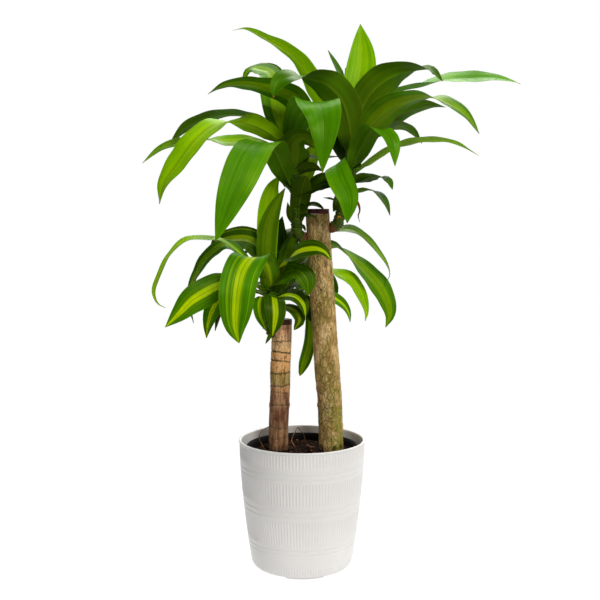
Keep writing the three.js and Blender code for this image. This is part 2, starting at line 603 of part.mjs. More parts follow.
// Soil that fills the pot and rises to the middle, with a plain hole for each cane.
function soil() {
  const bottom = POT_FLOOR + POT_WALL + GAP;
  const inside = (height) => potRadius(height) - POT_WALL - 2 * GAP;
  const crown = new THREE.QuadraticBezierCurve(
    new THREE.Vector2(inside(SOIL_EDGE_HEIGHT), SOIL_EDGE_HEIGHT),
    new THREE.Vector2(inside(SOIL_EDGE_HEIGHT) / 2, SOIL_EDGE_HEIGHT + SOIL_CROWN),
    new THREE.Vector2(0, SOIL_EDGE_HEIGHT + SOIL_CROWN),
  );
  const mound = turned([
    [0, bottom],
    [inside(bottom), bottom],
    ...crown.getPoints(5).map((point) => [point.x, point.y]),
  ]);
  const holes = [TALL_CANE, SHORT_CANE].map((marks) => caneSolid(marks, CANE_SIDES, 1, GAP));
  return mound.subtract(wasm.Manifold.union(holes));
}

// A cane, sawn off level.
function cane(marks, top) {
  return caneSolid(marks, CANE_SIDES, 1).trimByPlane([0, 0, -1], -top);
}

// A cap of wax on a cane's sawn top, a little wider than the cane and worn round at its edge.
function waxCap(marks, top, depth) {
  const radius = marks.at(-1)[3] + WAX_OVERHANG;
  const centre = placed(marks.at(-1));
  const cap = new THREE.CylinderGeometry(radius - 1, radius, depth, CANE_SIDES);
  return solidOf(cap.rotateX(Math.PI / 2).translate(centre.x, centre.y, top + GAP + depth / 2));
}

// A stem with its blades, cut clear of the cane that it grows from.
function shoot(name, caneMarks) {
  const stem = caneSolid(STEMS[name], STEM_SIDES, 1).subtract(caneSolid(caneMarks, CANE_SIDES, 1, GAP));
  return wasm.Manifold.union([stem, ...LEAVES[name].map(bladeSolid)]);
}

// ---------- the plant ----------

const plant = new THREE.Group();
plant.name = "potted_corn_plant";
plant.position.set(PLANTER_AXIS.x, PLANTER_AXIS.y, 0);
plant.add(
  meshOf("planter", planter(), PLANTER_WHITE),
  meshOf("grow_pot", growPot(), POT_BLACK),
  meshOf("soil", soil(), SOIL_BROWN),
  meshOf("cane_tall", cane(TALL_CANE, TALL_CANE_TOP), BARK_TAN),
  meshOf("cane_short", cane(SHORT_CANE, SHORT_CANE_TOP), BARK_ORANGE),
  meshOf("wax_tall", waxCap(TALL_CANE, TALL_CANE_TOP, WAX_TALL_DEPTH), WAX_RED),
  meshOf("wax_short", waxCap(SHORT_CANE, SHORT_CANE_TOP, WAX_SHORT_DEPTH), WAX_RED),
  meshOf("shoot_tall_left", shoot("tall_left", TALL_CANE), LEAF_GREEN),
  meshOf("shoot_tall_right", shoot("tall_right", TALL_CANE), LEAF_GREEN),
  meshOf("shoot_short_left", shoot("short_left", SHORT_CANE), STRIPED_GREEN),
  meshOf("shoot_short_right", shoot("short_right", SHORT_CANE), STRIPED_GREEN),
);

export default plant;
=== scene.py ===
"""The looks of a potted corn plant: bark, leaves, soil and a fluted planter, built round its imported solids.

Sizes in the tables are millimetres, counted from the planter's axis and the floor, seen from -Y.
"""

import math
import random

import bmesh
import bpy
import numpy as np
from mathutils import Euler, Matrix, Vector, noise


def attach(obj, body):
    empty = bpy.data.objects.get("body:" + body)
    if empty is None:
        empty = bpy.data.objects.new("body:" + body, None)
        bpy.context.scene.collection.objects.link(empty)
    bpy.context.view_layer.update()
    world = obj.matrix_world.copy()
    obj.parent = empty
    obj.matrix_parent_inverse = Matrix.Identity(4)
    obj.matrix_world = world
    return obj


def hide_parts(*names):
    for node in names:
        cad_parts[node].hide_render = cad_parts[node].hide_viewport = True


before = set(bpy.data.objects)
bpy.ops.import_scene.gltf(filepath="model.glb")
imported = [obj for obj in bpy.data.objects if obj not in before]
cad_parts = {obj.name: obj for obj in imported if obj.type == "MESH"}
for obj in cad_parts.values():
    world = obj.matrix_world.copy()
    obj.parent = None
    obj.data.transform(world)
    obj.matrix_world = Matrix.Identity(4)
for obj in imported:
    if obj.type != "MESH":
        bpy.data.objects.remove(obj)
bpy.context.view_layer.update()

# ---------- the frame, the view and the sizes that it shares with the solids ----------

MM = 0.001
PLANTER_AXIS = Vector((-54, 0, 0))  # from the middle of the footprint
EYE = Vector((-3.5, -1706, 631))  # the photograph's viewpoint, which the marks below are lined up from
LOOK_DOWN = 5.23  # degrees
SENSOR_WIDTH = 36
LENS = 59.02
CLIP_END = 50

RIM_RADIUS = 111
PLANTER_HEIGHT = 230
LIP_HEIGHT = 4
BODY_TOP_RADIUS = 110
BODY_FOOT_RADIUS = 90.2
BODY_FOOT_HEIGHT = 20
WALL_CURVE = 1.68  # 1 would make the wall straight
BASE_RADIUS = 82
BASE_HEIGHT = 7
PLANTER_WALL = 3
GROOVE_HEIGHTS = [48.7, 56.5, 116.7, 126.3, 180.7, 189.8]
GROOVE_DEPTH = 0.7
GROOVE_HALF_WIDTH = 2.6
FLUTE_COUNT = 120
FLUTE_DEPTH = 0.8
FLUTE_BANDS = [(10.3, 22.5), (64, 109), (136.5, 175), (202, 224.5)]  # lowest and highest points of the flutes
FOOT_COUNT = 4
FOOT_ARC = 62
FOOT_TURN = 4.5
FOOT_RADII = (63, 71)

POT_RIM_RADIUS = 98
POT_RIM_HEIGHT = 218
POT_RIM_DEPTH = 6
POT_TOP_RADIUS = 95.5
POT_BASE_RADIUS = 72
POT_WALL = 1.5
POT_FLOOR = 10.3
SOIL_RADIUS = 93
SOIL_EDGE_HEIGHT = 204
SOIL_CROWN = 4

TALL_CANE_TOP = 624
SHORT_CANE_TOP = 431
WAX_DEPTH = 8
WAX_OVERHANG = 0.6
WAX_CLEARANCE = 0.3

BLADE_THICKNESS = 0.5
BLADE_GUTTER = 0.16  # depth of the gutter along the midrib, as a part of the half width
BLADE_CLASP = 0.42  # width at the root, as a part of the full width
BLADE_PEAK = 0.45  # where along the blade it is widest
BLADE_TAPER = 2.4  # the higher, the later the blade narrows to its tip
BLADE_TIP = 1.0
BLADE_TIGHTEST = 0.7  # half width where a blade turns sideways, as a part of the radius that it turns at

# ---------- canes, stems and leaves ----------
# A mark is [x, z, y, radius] or, for a leaf, [x, z, y] or [x, z, y, turn]. x and z are where it shows on the upright
# plane through the planter's axis, seen from EYE, and y is how far behind that plane it lies. turn is in degrees:
# 0 shows the leaf's upper face to EYE, 180 its underside, 90 stands it on edge with the upper face to the right of
# the way it grows, and -90 to the left. Without a turn the blade lies level across the way it reaches.

TALL_CANE = [
    [53, 90, 8, 21.5], [52, 190, 8, 21.5], [51, 232, 8, 21.4], [48.5, 303, 8, 21.4], [44.5, 345, 8, 22.2],
    [40.5, 410, 8, 21.4], [35.5, 480, 8, 21.6], [31.5, 545, 8, 20.8], [28, 600, 8, 20.6], [26.5, 630, 8, 20.4],
]
SHORT_CANE = [
    [-43, 90, 14, 17.6], [-42, 200, 14, 17.6], [-41, 262, 14, 17.4], [-38.5, 312, 14, 17.4], [-38, 352, 14, 18],
    [-36.5, 385, 14, 17.5], [-35, 436, 14, 17.6],
]
STEMS = {
    "tall_left": [
        [14, 583, 4, 9], [3, 583, 0, 10.5], [-8, 592, -4, 10.5], [-10, 620, -6, 9.6], [-10, 655, -7, 10],
        [-14, 695, -8, 12.5], [-18, 735, -9, 14], [-21, 766, -9, 8],
    ],
    "tall_right": [
        [42, 598, 7, 9], [55, 602, 5, 10.5], [64, 614, 4, 10], [69, 640, 3, 9.2], [76, 670, 2, 10],
        [84, 705, 1, 12.5], [89, 745, 0, 14], [91, 784, 0, 8],
    ],
    "short_left": [
        [-42, 412, 10, 6.5], [-54, 418, 4, 8], [-60, 436, -3, 8], [-57, 462, -8, 10], [-52, 490, -10, 12],
        [-51, 514, -10, 8],
    ],
    "short_right": [
        [-37, 416, 26, 6], [-41, 422, 36, 7.5], [-44, 444, 41, 7.5], [-42, 474, 41, 9.5], [-38, 502, 40, 10],
        [-37, 520, 39, 7],
    ],
}

# A leaf is [look, width, marks, peak, taper], from its root in the stem to its tip. LOOKS says what a look is.
LEAVES = {}
LEAVES["tall_right"] = [
    ["bright", 54, [[88, 765, 4], [94, 828, 12, 0], [102, 885, 24, 0], [99, 945, 32, 5]]],
    ["lime", 44, [[84, 755, 6], [52, 794, 18, 158], [22, 840, 28, 150], [-10, 888, 32, 124], [-50, 915, 36, 116],
        [-92, 936, 38, 110], [-118, 935, 40, 80]]],
    ["plain", 58, [[87, 705, -5], [83, 760, -28, 176], [70, 812, -42, 166], [44, 842, -54, 152], [14, 854, -63, 116],
        [-10, 859, -70, 76], [-32, 854, -75, 40], [-45, 840, -79, 14], [-49, 822, -81, 10]], 0.5, 3],
    ["plain", 26, [[88, 770, 8], [76, 832, 34, 116], [63, 866, 42, 60], [44, 902, 46, 50]]],
    ["plain", 22, [[88, 772, 8], [80, 825, 40, 30], [74, 872, 46, 30]]],
    ["plain", 62, [[90, 760, 0], [106, 811, -8, -170], [132, 843, -16, -160], [164, 861, -22, -132],
        [198, 868, -20, -98], [222, 868, -14, -62], [240, 850, -8, -44]]],
    ["vivid", 46, [[92, 768, 6], [132, 812, 18, -120], [168, 833, 28, -104], [204, 841, 36, -94], [238, 851, 44, -72],
        [280, 855, 54, -62], [322, 856, 62, -64], [354, 851, 68, -70], [373, 845, 70, -80]], 0.6, 2.2],
    ["olive", 52, [[88, 722, -6], [106, 758, -32, -170], [133, 791, -50, -162], [166, 812, -64, -132],
        [212, 823, -74, -100], [246, 815, -80, -66], [280, 794, -85, -60], [304, 761, -87, -55]]],
    ["plain", 48, [[90, 735, 4], [136, 770, 12, -130], [166, 792, 18, -128], [196, 804, 22, -126],
        [222, 808, 25, -118], [246, 806, 26, -106]]],
    ["plain", 42, [[88, 735, 8], [136, 765, 32, -104], [168, 775, 40, -114], [190, 764, 44, -118],
        [206, 744, 46, -112]]],
    ["bright", 40, [[84, 688, 0], [118, 712, -2, -112], [158, 736, 0, -104], [195, 747, 0, -106], [230, 749, 0, -106],
        [264, 744, 0, -104], [304, 724, 0, -95]]],
    ["vivid", 40, [[82, 692, -6], [98, 732, -34, 180], [117, 766, -62, -150], [141, 765, -84, -60],
        [156, 745, -96, -28], [160, 706, -102, -22]]],
    ["plain", 40, [[80, 672, -5], [104, 682, -26, -122], [120, 688, -36, -112], [134, 687, -42, -92],
        [147, 684, -46, -60], [156, 666, -50, -50]]],
    ["plain", 32, [[74, 654, -2], [98, 662, -20, -108], [118, 666, -28, -96], [133, 658, -34, -70],
        [145, 641, -38, -62], [152, 621, -40, -60]]],
    ["vivid", 42, [[80, 684, -6], [64, 704, -36, 180], [58, 708, -56], [66, 684, -84, 0], [80, 650, -94, 0],
        [78, 608, -98, 0]], 0.55],
    ["dark", 21, [[74, 655, -2], [69, 656, -16, 20], [64, 647, -24, 6], [59, 638, -28, 0], [54, 628, -30, 0]]],
    ["dark", 9, [[72, 650, -4], [58, 648, -15, 60], [50, 650, -19, 56], [44, 651, -22, 56], [37, 652, -24, 60]]],
    ["plain", 46, [[88, 740, 8], [90, 800, 64], [93, 826, 110], [98, 796, 148], [101, 742, 164]]],
    ["plain", 44, [[92, 742, 8], [112, 792, 55], [140, 806, 95], [150, 796, 130], [152, 782, 150]]],
    ["plain", 42, [[86, 738, 8], [66, 786, 58], [54, 812, 104], [50, 806, 138], [46, 776, 162]]],
    ["dark", 36, [[86, 700, 6], [92, 735, 50], [90, 745, 95], [84, 732, 125]]],
    ["dark", 36, [[85, 702, 6], [70, 726, 22, 40], [61, 752, 38, 20], [58, 778, 52, 20]]],
    ["husk", 6, [[72, 664, 2], [88, 654, 10, 40], [97, 642, 14, 30], [100, 630, 14, 50], [97, 621, 13, 20],
        [100, 610, 12, 40]], 0.3, 2],
]
LEAVES["tall_left"] = [
    ["vivid", 66, [[-18, 745, -9], [-6, 788, -48, 180], [20, 814, -98], [36, 800, -140, 0], [38, 758, -157.5, 0],
        [35, 694, -161.2, 0]], 0.5, 1.6],
    ["olive", 60, [[-21, 742, 2], [-38, 790, 16, 14], [-45, 832, 32, 20], [-52, 861, 50, 34], [-70, 869, 62, 52],
        [-88, 870, 68, 70], [-102, 852, 70, 20]]],
    ["plain", 28, [[-17, 747, 3], [-24, 825, 58, 110], [-44, 866, 76, 40], [-64, 880, 84, 30]], 0.6, 5],
    ["olive", 50, [[-17, 748, -3], [2, 790, 0, 174], [-14, 820, -10, 152], [-46, 834, -24, 134], [-80, 842, -40, 122],
        [-110, 845, -54, 116], [-137, 841, -64, 112], [-161, 828, -72, 106]], 0.5],
    ["plain", 38, [[-22, 735, 0], [-62, 778, 8, 110], [-95, 792, 15, 104], [-130, 794, 20, 112], [-166, 786, 25, 122],
        [-200, 770, 28, 128], [-228, 743, 30, 126]], 0.6],
    ["lime", 48, [[-20, 732, -6], [-55, 762, -24, 160], [-88, 778, -44, 148], [-120, 781, -62, 96],
        [-150, 776, -76, 58], [-184, 750, -88, 46], [-215, 710, -96, 40], [-239, 675, -98, 45], [-246, 641, -96, 60]],
        0.6],
    ["bright", 36, [[-18, 718, 0], [-60, 740, 6, 70], [-95, 748, 11, 60], [-130, 748, 15, 56], [-166, 751, 20, 96],
        [-205, 747, 24, 118], [-242, 736, 26, 124], [-275, 711, 28, 120]]],
    ["vivid", 60, [[-12, 655, -8], [-34, 702, -26, 172], [-50, 737, -56, 150], [-71, 744, -90, 60],
        [-91, 722, -124, 8], [-108, 688, -144, 0], [-123, 652, -154, 0], [-136, 616, -160.5, 0], [-150, 576, -163, 0]],
        0.6, 1.9],
    ["olive", 66, [[-14, 672, -8], [-20, 714, -28, 180], [-14, 746, -44, 180], [4, 755, -58, -160],
        [24, 736, -68, -130]], 0.5, 1.8],
    ["plain", 13, [[-12, 655, -4], [-36, 686, -14, 70], [-52, 704, -16, 60], [-63, 721, -17, 60]]],
    ["dark", 22, [[-12, 688, -8], [8, 703, -22, -150], [22, 704, -30, -140], [36, 697, -34, -120]]],
    ["dark", 40, [[-9, 650, -6], [16, 668, -18, -60], [38, 680, -28, -30], [66, 675, -36, -14]]],
    ["olive", 34, [[-9, 652, -2], [3, 690, -2, 178], [13, 722, -2, 176], [23, 744, -2, 172]], 0.6, 3],
    ["dark", 36, [[-9, 598, -5], [-6, 632, -16, 178], [0, 668, -23, 176], [8, 690, -26, 168]], 0.7, 3],
    ["dark", 12, [[-10, 598, -5], [-21, 622, -12, 170], [-25, 644, -14, 170]]],
    ["dark", 7, [[-9, 600, -5], [-18, 590, -17], [-28, 570, -24], [-46, 553, -30]]],
    ["plain", 22, [[-14, 698, 0], [22, 716, 14, -70], [48, 721, 18, -75], [68, 722, 18, -85]]],
    ["dark", 17, [[-13, 690, -8], [0, 716, -16, -60], [15, 722, -20, -60], [32, 717, -24, -70]]],
    ["dark", 13, [[-9, 626, -6], [4, 636, -16, -66], [12, 640, -20, -58], [22, 641, -23, -54], [31, 637, -25, -52],
        [38, 632, -26, -50]], 0.6, 3],
    ["dark", 9, [[-9, 606, -5], [-1, 620, -14, -60], [9, 622, -19, -48], [19, 620, -23, -44], [26, 617, -25, -44]]],
    ["plain", 46, [[-20, 740, 5], [-34, 790, 56], [-40, 822, 104], [-44, 800, 142], [-46, 762, 163]]],
    ["plain", 44, [[-18, 738, 4], [-4, 782, 58], [6, 812, 100], [14, 790, 138], [18, 748, 160]]],
    ["plain", 40, [[-22, 730, 2], [-58, 770, 50], [-82, 768, 86], [-92, 766, 108]]],
    ["dark", 36, [[-16, 700, 2], [-28, 728, 50], [-30, 736, 95], [-32, 716, 125]]],
    ["plain", 26, [[-20, 745, -6], [-14, 790, -20, 170], [-8, 815, -28, 170]]],
    ["dark", 6, [[-4, 606, -8], [3, 602, -12, 20], [6, 594, -13, 10]]],
    ["dark", 7, [[-10, 636, -14], [1, 640, -20, 30], [6, 634, -21, 20]]],
]
LEAVES["short_left"] = [
    ["olive", 34, [[-53, 490, -6], [-62, 545, -20, 172], [-59, 598, -27, 176], [-46, 638, -31, 180],
        [-29, 669, -33, 180]]],
    ["lime", 38, [[-52, 492, -6], [-60, 560, 0, 10], [-58, 625, 4, 0], [-52, 666, 10, 0], [-38, 690, 16, 0]], 0.6],
    ["striped", 54, [[-54, 495, -8], [-68, 556, 4, 30], [-88, 578, 12, 36], [-118, 581, 14, 40], [-144, 575, 12, 38],
        [-160, 556, 10, 36]], 0.5, 2.4],
    ["pale", 21, [[-55, 500, -12], [-98, 546, -32, 84], [-135, 576, -46, 76], [-154, 581, -50, 70],
        [-200, 580, -57, 66], [-231, 552, -62, 70], [-250, 514, -63, 56], [-258, 490, -62, 46], [-252, 470, -60, 46],
        [-238, 461, -58, 50]]],
    ["olive", 28, [[-54, 490, -10], [-100, 548, -14, 60], [-128, 572, -16, 50], [-150, 563, -18, 40],
        [-169, 545, -21, 46], [-180, 526, -24, 56], [-190, 506, -27, 60], [-196, 470, -28, 60],
        [-189, 434, -28, 50]]],
    ["bandbright", 50, [[-56, 484, -12], [-100, 508, -42, 70], [-142, 500, -64, 30], [-168, 488, -74, 14],
        [-192, 473, -80, 8], [-214, 451, -83, 8], [-239, 427, -84, 8]], 0.62, 1.7],
    ["bandbright", 36, [[-56, 480, -12], [-108, 500, -30, 70], [-140, 482, -40, 34], [-156, 457, -46, 16],
        [-164, 432, -49, 10], [-167, 408, -50, 10]]],
    ["dark", 26, [[-55, 478, -6], [-104, 494, 4, 60], [-138, 468, 6, 50], [-152, 420, 6, 50]]],
    ["stripes", 60, [[-53, 488, -14], [-62, 532, -48, 176], [-84, 549, -82], [-102, 531, -112, 0],
        [-111, 501, -130, 0], [-115, 464, -137, 0], [-116, 428, -139, 0], [-110, 399, -136, 0]], 0.6, 3],
    ["olive", 28, [[-54, 476, -12], [-59, 505, -26, 176], [-68, 534, -36, 172]]],
    ["dark", 22, [[-50, 478, -14], [-43, 505, -25, -176], [-31, 538, -34, -172]]],
    ["crisp", 44, [[-50, 498, -14], [-36, 530, -30, -140], [-10, 556, -48, -60], [18, 564, -62, -36],
        [38, 559, -70, -34], [51, 544, -74, -30]]],
    ["glossy", 46, [[-50, 494, -14], [-32, 519, -28, -40], [-8, 526, -36, -26], [8, 510, -42, -16],
        [11, 482, -44, -10]]],
    ["crisp", 37, [[-55, 460, -12], [-50, 478, -30, 176], [-48, 475, -44], [-46, 453, -56, 0], [-48, 432, -59, 0],
        [-52, 411, -59, 0]], 0.5],
    ["bandbright", 22, [[-59, 462, -8], [-68, 482, -18, 140], [-74, 472, -24], [-73, 448, -26, 20],
        [-62, 420, -25, 20]]],
    ["dark", 18, [[-60, 446, -3], [-76, 466, -10, 80], [-88, 460, -14, 64], [-99, 443, -16, 56]]],
    ["crisp", 34, [[-52, 474, -12], [-28, 484, -24, -56], [-8, 480, -30, -44], [3, 465, -33, -34],
        [6, 445, -34, -30]]],
    ["banddark", 24, [[-55, 462, -8], [-24, 461, -20, -50], [-9, 453, -25, -26], [-4, 439, -27, -14],
        [-14, 422, -26, 10]], 0.6],
    ["dark", 40, [[-53, 486, -6], [-58, 535, 14], [-62, 560, 18, 30], [-84, 566, 22, 60], [-104, 552, 24, 60]]],
    ["dark", 32, [[-54, 478, -5], [-76, 502, 22], [-98, 500, 48], [-104, 480, 62]]],
    ["olive", 8, [[-54, 424, -6], [-54, 416, -12, 20], [-59, 406, -14, 30], [-64, 398, -14, 40]]],
    ["husk", 6, [[-60, 440, -10], [-66, 434, -16, 20], [-68, 424, -17, 10]]],
]
LEAVES["short_right"] = [
    ["olive", 28, [[-37, 498, 40], [-2, 552, 50, -112], [38, 586, 55, -96], [60, 595, 57, -70], [86, 597, 59, -58],
        [110, 583, 60, -62], [133, 557, 60, -62], [146, 538, 60, -70], [152, 519, 59, -78], [144, 502, 58, -72]]],
    ["olive", 46, [[-38, 494, 41], [4, 548, 56, -110], [50, 570, 64, -112], [84, 549, 67, -70], [112, 523, 68, -48],
        [135, 497, 66, -32], [149, 470, 64, -24], [153, 448, 62, -20], [146, 427, 61, -20]], 0.62, 2.6],
    ["pale", 32, [[-39, 488, 41], [10, 520, 48, -96], [40, 526, 54, -84], [62, 520, 56, -58], [84, 512, 57, -46],
        [98, 493, 57, -44], [108, 470, 56, -46], [112, 452, 55, -48], [110, 438, 55, -50]], 0.6],
    ["bandbright", 32, [[-40, 480, 41], [15, 496, 46, -70], [54, 479, 51, -52], [72, 466, 52, -46], [81, 452, 52, -44],
        [84, 436, 51, -44]]],
    ["plain", 26, [[-39, 486, 41], [14, 528, 64, -80], [44, 520, 74, -50], [57, 496, 76, -40], [56, 466, 74, -40]]],
    ["olive", 22, [[-40, 478, 41], [-4, 492, 50, -90], [12, 466, 54, -20], [15, 420, 54, -10], [10, 385, 53, -8],
        [-4, 341, 52, -6]], 0.8, 3.2],
    ["dark", 24, [[-41, 474, 41], [-10, 490, 48, -80], [4, 478, 50, -40], [10, 458, 50, -20], [15, 436, 48, -10]]],
    ["dark", 42, [[-38, 498, 40], [-42, 545, 82], [-45, 562, 114], [-48, 540, 144], [-50, 492, 162]]],
    ["dark", 40, [[-37, 494, 41], [-10, 540, 80], [6, 556, 114], [14, 534, 142], [18, 490, 160]]],
    ["dark", 38, [[-39, 490, 41], [-58, 528, 80], [-76, 534, 112], [-88, 514, 138], [-92, 482, 152]]],
    ["dark", 34, [[-40, 482, 41], [-14, 505, 80], [-6, 504, 112], [-2, 480, 132]]],
    ["dark", 34, [[-41, 478, 41], [-44, 500, 78], [-52, 494, 108], [-56, 470, 126]]],
    ["dark", 36, [[-37, 502, 39], [-30, 555, 62], [-22, 592, 82], [-14, 600, 108]]],
    ["dark", 36, [[-38, 500, 38], [-42, 548, 50, 20], [-40, 590, 60, 10], [-34, 620, 68, 10]]],
    ["olive", 32, [[-38, 500, 36], [-28, 538, 42, 10], [-20, 568, 46, 0], [-9, 594, 48, 0]], 0.5, 3],
]

# What a look means: how bright the green is, how strong the yellow band along the middle is, half its width as a
# part of the blade's, and how strong the fine stripes beside it are. The dark look's low tone is painted shade, for
# leaves that lie in shade inside the crowns; the high tones of bright and lime are partly the leaves' own light green
# and partly a painted glow of light through backlit leaves.
LOOKS = {
    "plain": (0.36, 0.0, 0.2, 0.1),
    "vivid": (0.62, 0.0, 0.4, 0.08),
    # partly painted light: the high tones of bright and lime also stand in for light glowing through backlit leaves
    "bright": (0.85, 0.25, 0.5, 0.2),
    "lime": (1.0, 0.35, 0.6, 0.25),
    "olive": (0.45, 0.35, 0.5, 0.25),
    # painted shade: the dark look gives leaves that lie in shade inside the crowns a dark green
    "dark": (0.05, 0.0, 0.3, 0.1),
    "glossy": (0.35, 0.3, 0.12, 0.15),
    "pale": (1.0, 0.5, 0.4, 0.4),
    "bandbright": (0.5, 1.0, 0.3, 0.15),
    "banddark": (0.12, 0.5, 0.3, 0.25),
    "crisp": (0.2, 1.0, 0.3, 0.1),
    "striped": (0.2, 0.45, 0.25, 0.5),
    "stripes": (0.55, 1.0, 0.26, 0.5),
    "husk": (-0.6, 0.0, 0.3, 0.0),
}

SLOTS = {
    "tall_left": "leaf_green",
    "tall_right": "leaf_green",
    "short_left": "leaf_striped",
    "short_right": "leaf_striped",
}


# ---------- curves and meshes ----------


def placed(mark):
    """Where a mark lies: on the line from EYE through its place on the axis plane, at its own depth."""
    x, z, depth = mark[:3]
    return EYE + (Vector((x, 0, z)) - EYE) * ((depth - EYE.y) / -EYE.y)


def in_metres(point):
    return (Vector(point) + PLANTER_AXIS) * MM


def smooth(value, low, high):
    """0 below low, 1 above high, and a smooth step between them. low may be the larger."""
    share = min(max((value - low) / (high - low), 0), 1)
    return share * share * (3 - 2 * share)


def angles(count):
    return [2 * math.pi * k / count for k in range(count)]


def polar(radius, angle, height):
    return Vector((radius * math.cos(angle), radius * math.sin(angle), height))


def rough(x, y, z):
    return noise.noise(Vector((x, y, z)))


class Midline:
    """The curve through a list of marks: a uniform Catmull-Rom curve that can be walked at an even pace."""

    SAMPLES = 200

    def __init__(self, marks):
        points = [placed(mark) for mark in marks]
        self.points = [2 * points[0] - points[1], *points, 2 * points[-1] - points[-2]]
        self.spans = len(marks) - 1
        self.grid = np.linspace(0, 1, self.SAMPLES + 1)
        walk = [self.point(at) for at in self.grid]
        steps = [(b - a).length for a, b in zip(walk, walk[1:])]
        self.run = np.concatenate([[0], np.cumsum(steps)])
        self.length = float(self.run[-1])

    def stretch(self, at):
        """How far along its span a place on the curve is, and the span's cubic, from its third power down."""
        along = min(max(at, 0), 1) * self.spans
        span = min(int(along), self.spans - 1)
        before, start, end, after = self.points[span : span + 4]
        leaving, arriving = (end - before) / 2, (after - start) / 2
        bend = 3 * (end - start) - 2 * leaving - arriving
        twist = 2 * (start - end) + leaving + arriving
        return along - span, twist, bend, leaving, start

    def point(self, at):
        u, twist, bend, leaving, start = self.stretch(at)
        return ((twist * u + bend) * u + leaving) * u + start

    def tangent(self, at):
        u, twist, bend, leaving, _ = self.stretch(at)
        return ((3 * twist * u + 2 * bend) * u + leaving).normalized()

    def at_part(self, part):
        """The place on the curve at a part of its length."""
        return float(np.interp(part * self.length, self.run, self.grid))


class Shape:
    """Closed surfaces gathered into one mesh, with named values at each point."""

    SHARP = math.radians(50)

    def __init__(self):
        self.points, self.faces, self.values = [], [], {}

    def add(self, points, faces, **values):
        start = len(self.points)
        self.points += [in_metres(point) for point in points]
        self.faces += [[start + number for number in face] for face in faces]
        for name, numbers in values.items():
            self.values.setdefault(name, []).extend(numbers)

    def piece(self, name, material, slot, *nodes):
        """Makes the finished object, which rides on the plant and stands for these nodes."""
        mesh = bpy.data.meshes.new(name)
        mesh.from_pydata(self.points, [], self.faces)
        for value, numbers in self.values.items():
            mesh.attributes.new(value, "FLOAT", "POINT").data.foreach_set("value", numbers)
        mesh.shade_smooth()
        mesh.set_sharp_from_angle(angle=self.SHARP)
        mesh.materials.append(material)
        piece = bpy.data.objects.new(name, mesh)
        bpy.context.collection.objects.link(piece)
        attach(piece, "root")
        if nodes:
            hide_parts(*nodes)


def skinned(rings):
    """Points and faces of a closed skin over rings of points, alike in number, with a fan over each end."""
    size = len(rings[0])
    points = [point for ring in rings for point in ring]
    points += [sum(ring, Vector()) / size for ring in (rings[0], rings[-1])]
    faces = []
    for ring in range(len(rings) - 1):
        for k in range(size):
            here, beside = ring * size + k, ring * size + (k + 1) % size
            faces.append((here, beside, beside + size, here + size))
    last = (len(rings) - 1) * size
    for k in range(size):
        beside = (k + 1) % size
        faces.append((len(points) - 2, beside, k))
        faces.append((len(points) - 1, last + k, last + beside))
    return points, faces


def spread(rows, size):
    """A value for each ring as a value for each point of the skin over the rings."""
    return [value for value in rows for _ in range(size)] + [rows[0], rows[-1]]


def radius_at(marks, at):
    along = min(max(at, 0), 1) * (len(marks) - 1)
    return float(np.interp(along, range(len(marks)), [mark[3] for mark in marks]))


def ring_about(centre, along, sides, radius_of):
    """A ring of points round a line, whose radius is a function of the angle."""
    side = (Vector((1, 0, 0)) - along * along.x).normalized()
    other = along.cross(side)
    return [centre + (side * math.cos(a) + other * math.sin(a)) * radius_of(a) for a in angles(sides)]


def tube(marks, sides, pace, skin, top=math.inf):
    """Rings along the marks' curve, up to a flat top. skin(angle, height) is what it adds to the radius."""
    curve = Midline(marks)
    count = round(curve.length / pace)
    rings = []
    for step in range(count + 1):
        at = curve.at_part(step / count)
        centre = curve.point(at)
        centre.z = min(centre.z, top)
        radius = radius_at(marks, at)
        rings.append(ring_about(centre, curve.tangent(at), sides, lambda angle: radius + skin(angle, centre.z)))
        if centre.z >= top:
            for point in rings[-1]:
                point.z = top
            break
    return rings


def lathe(section, columns, change=lambda height, angle: 0):
    """Rings of a turned shape, from [radius, height] pairs. Beyond BASE_RADIUS change(height, angle) is added."""
    rings = []
    for radius, height in section:
        reach = [radius + (change(height, angle) if radius > BASE_RADIUS else 0) for angle in angles(columns)]
        rings.append([polar(out, angle, height) for out, angle in zip(reach, angles(columns))])
    return rings


# ---------- leaves ----------

BLADE_COLUMNS = [-1, -0.93, -0.8, -0.62, -0.42, -0.22, -0.07, 0, 0.07, 0.22, 0.42, 0.62, 0.8, 0.93, 1]
STATION_LENGTH = 6
MIN_STATIONS = 16
CURVE_STEP = 0.02
BEND_STEP = 0.05
SMOOTHING = 5  # stations that a blade's width is averaged over
WAVE_LENGTH = 46
WAVE_HEIGHT = 0.06  # of the edge's waves, as a part of the half width
DRIFT_HEIGHT = 0.05  # of the slow bumps over the whole blade
WAVED = [(0.08, 0.4), (0.85, 1)]  # where along the blade the waves set in, and where they halve again
ROOT_GUTTER = 0.5  # how much deeper the gutter is at the root
ROOT_END = 0.16  # where along the blade that ends
FLATTENING = (0.1, 0.7)  # bends over the half width between which the gutter goes flat
FLATTEST = 0.9
MIDRIB = 0.7  # how far the midrib stands out under the blade
MARGIN_THICKNESS = 0.5  # as a part of the blade's


def crossings(marks, curve):
    """Which way a blade lies across its midrib at each mark that fixes it, as [mark number, direction] pairs."""
    points = [placed(mark) for mark in marks]
    reach = points[-1] - points[0]
    level = Vector((reach.y, -reach.x, 0)).normalized()
    found = []
    for number, mark in enumerate(marks):
        if len(mark) < 4:
            if number == 0:
                found.append((number, level))
            continue
        along = curve.tangent(number / (len(marks) - 1))
        right = (points[number] - EYE).normalized().cross(along).normalized()
        angle = math.radians(mark[3])
        found.append((number, right * math.cos(angle) + along.cross(right) * math.sin(angle)))
    if len(found) == 1:
        found.append((len(marks) - 1, level))
    return found


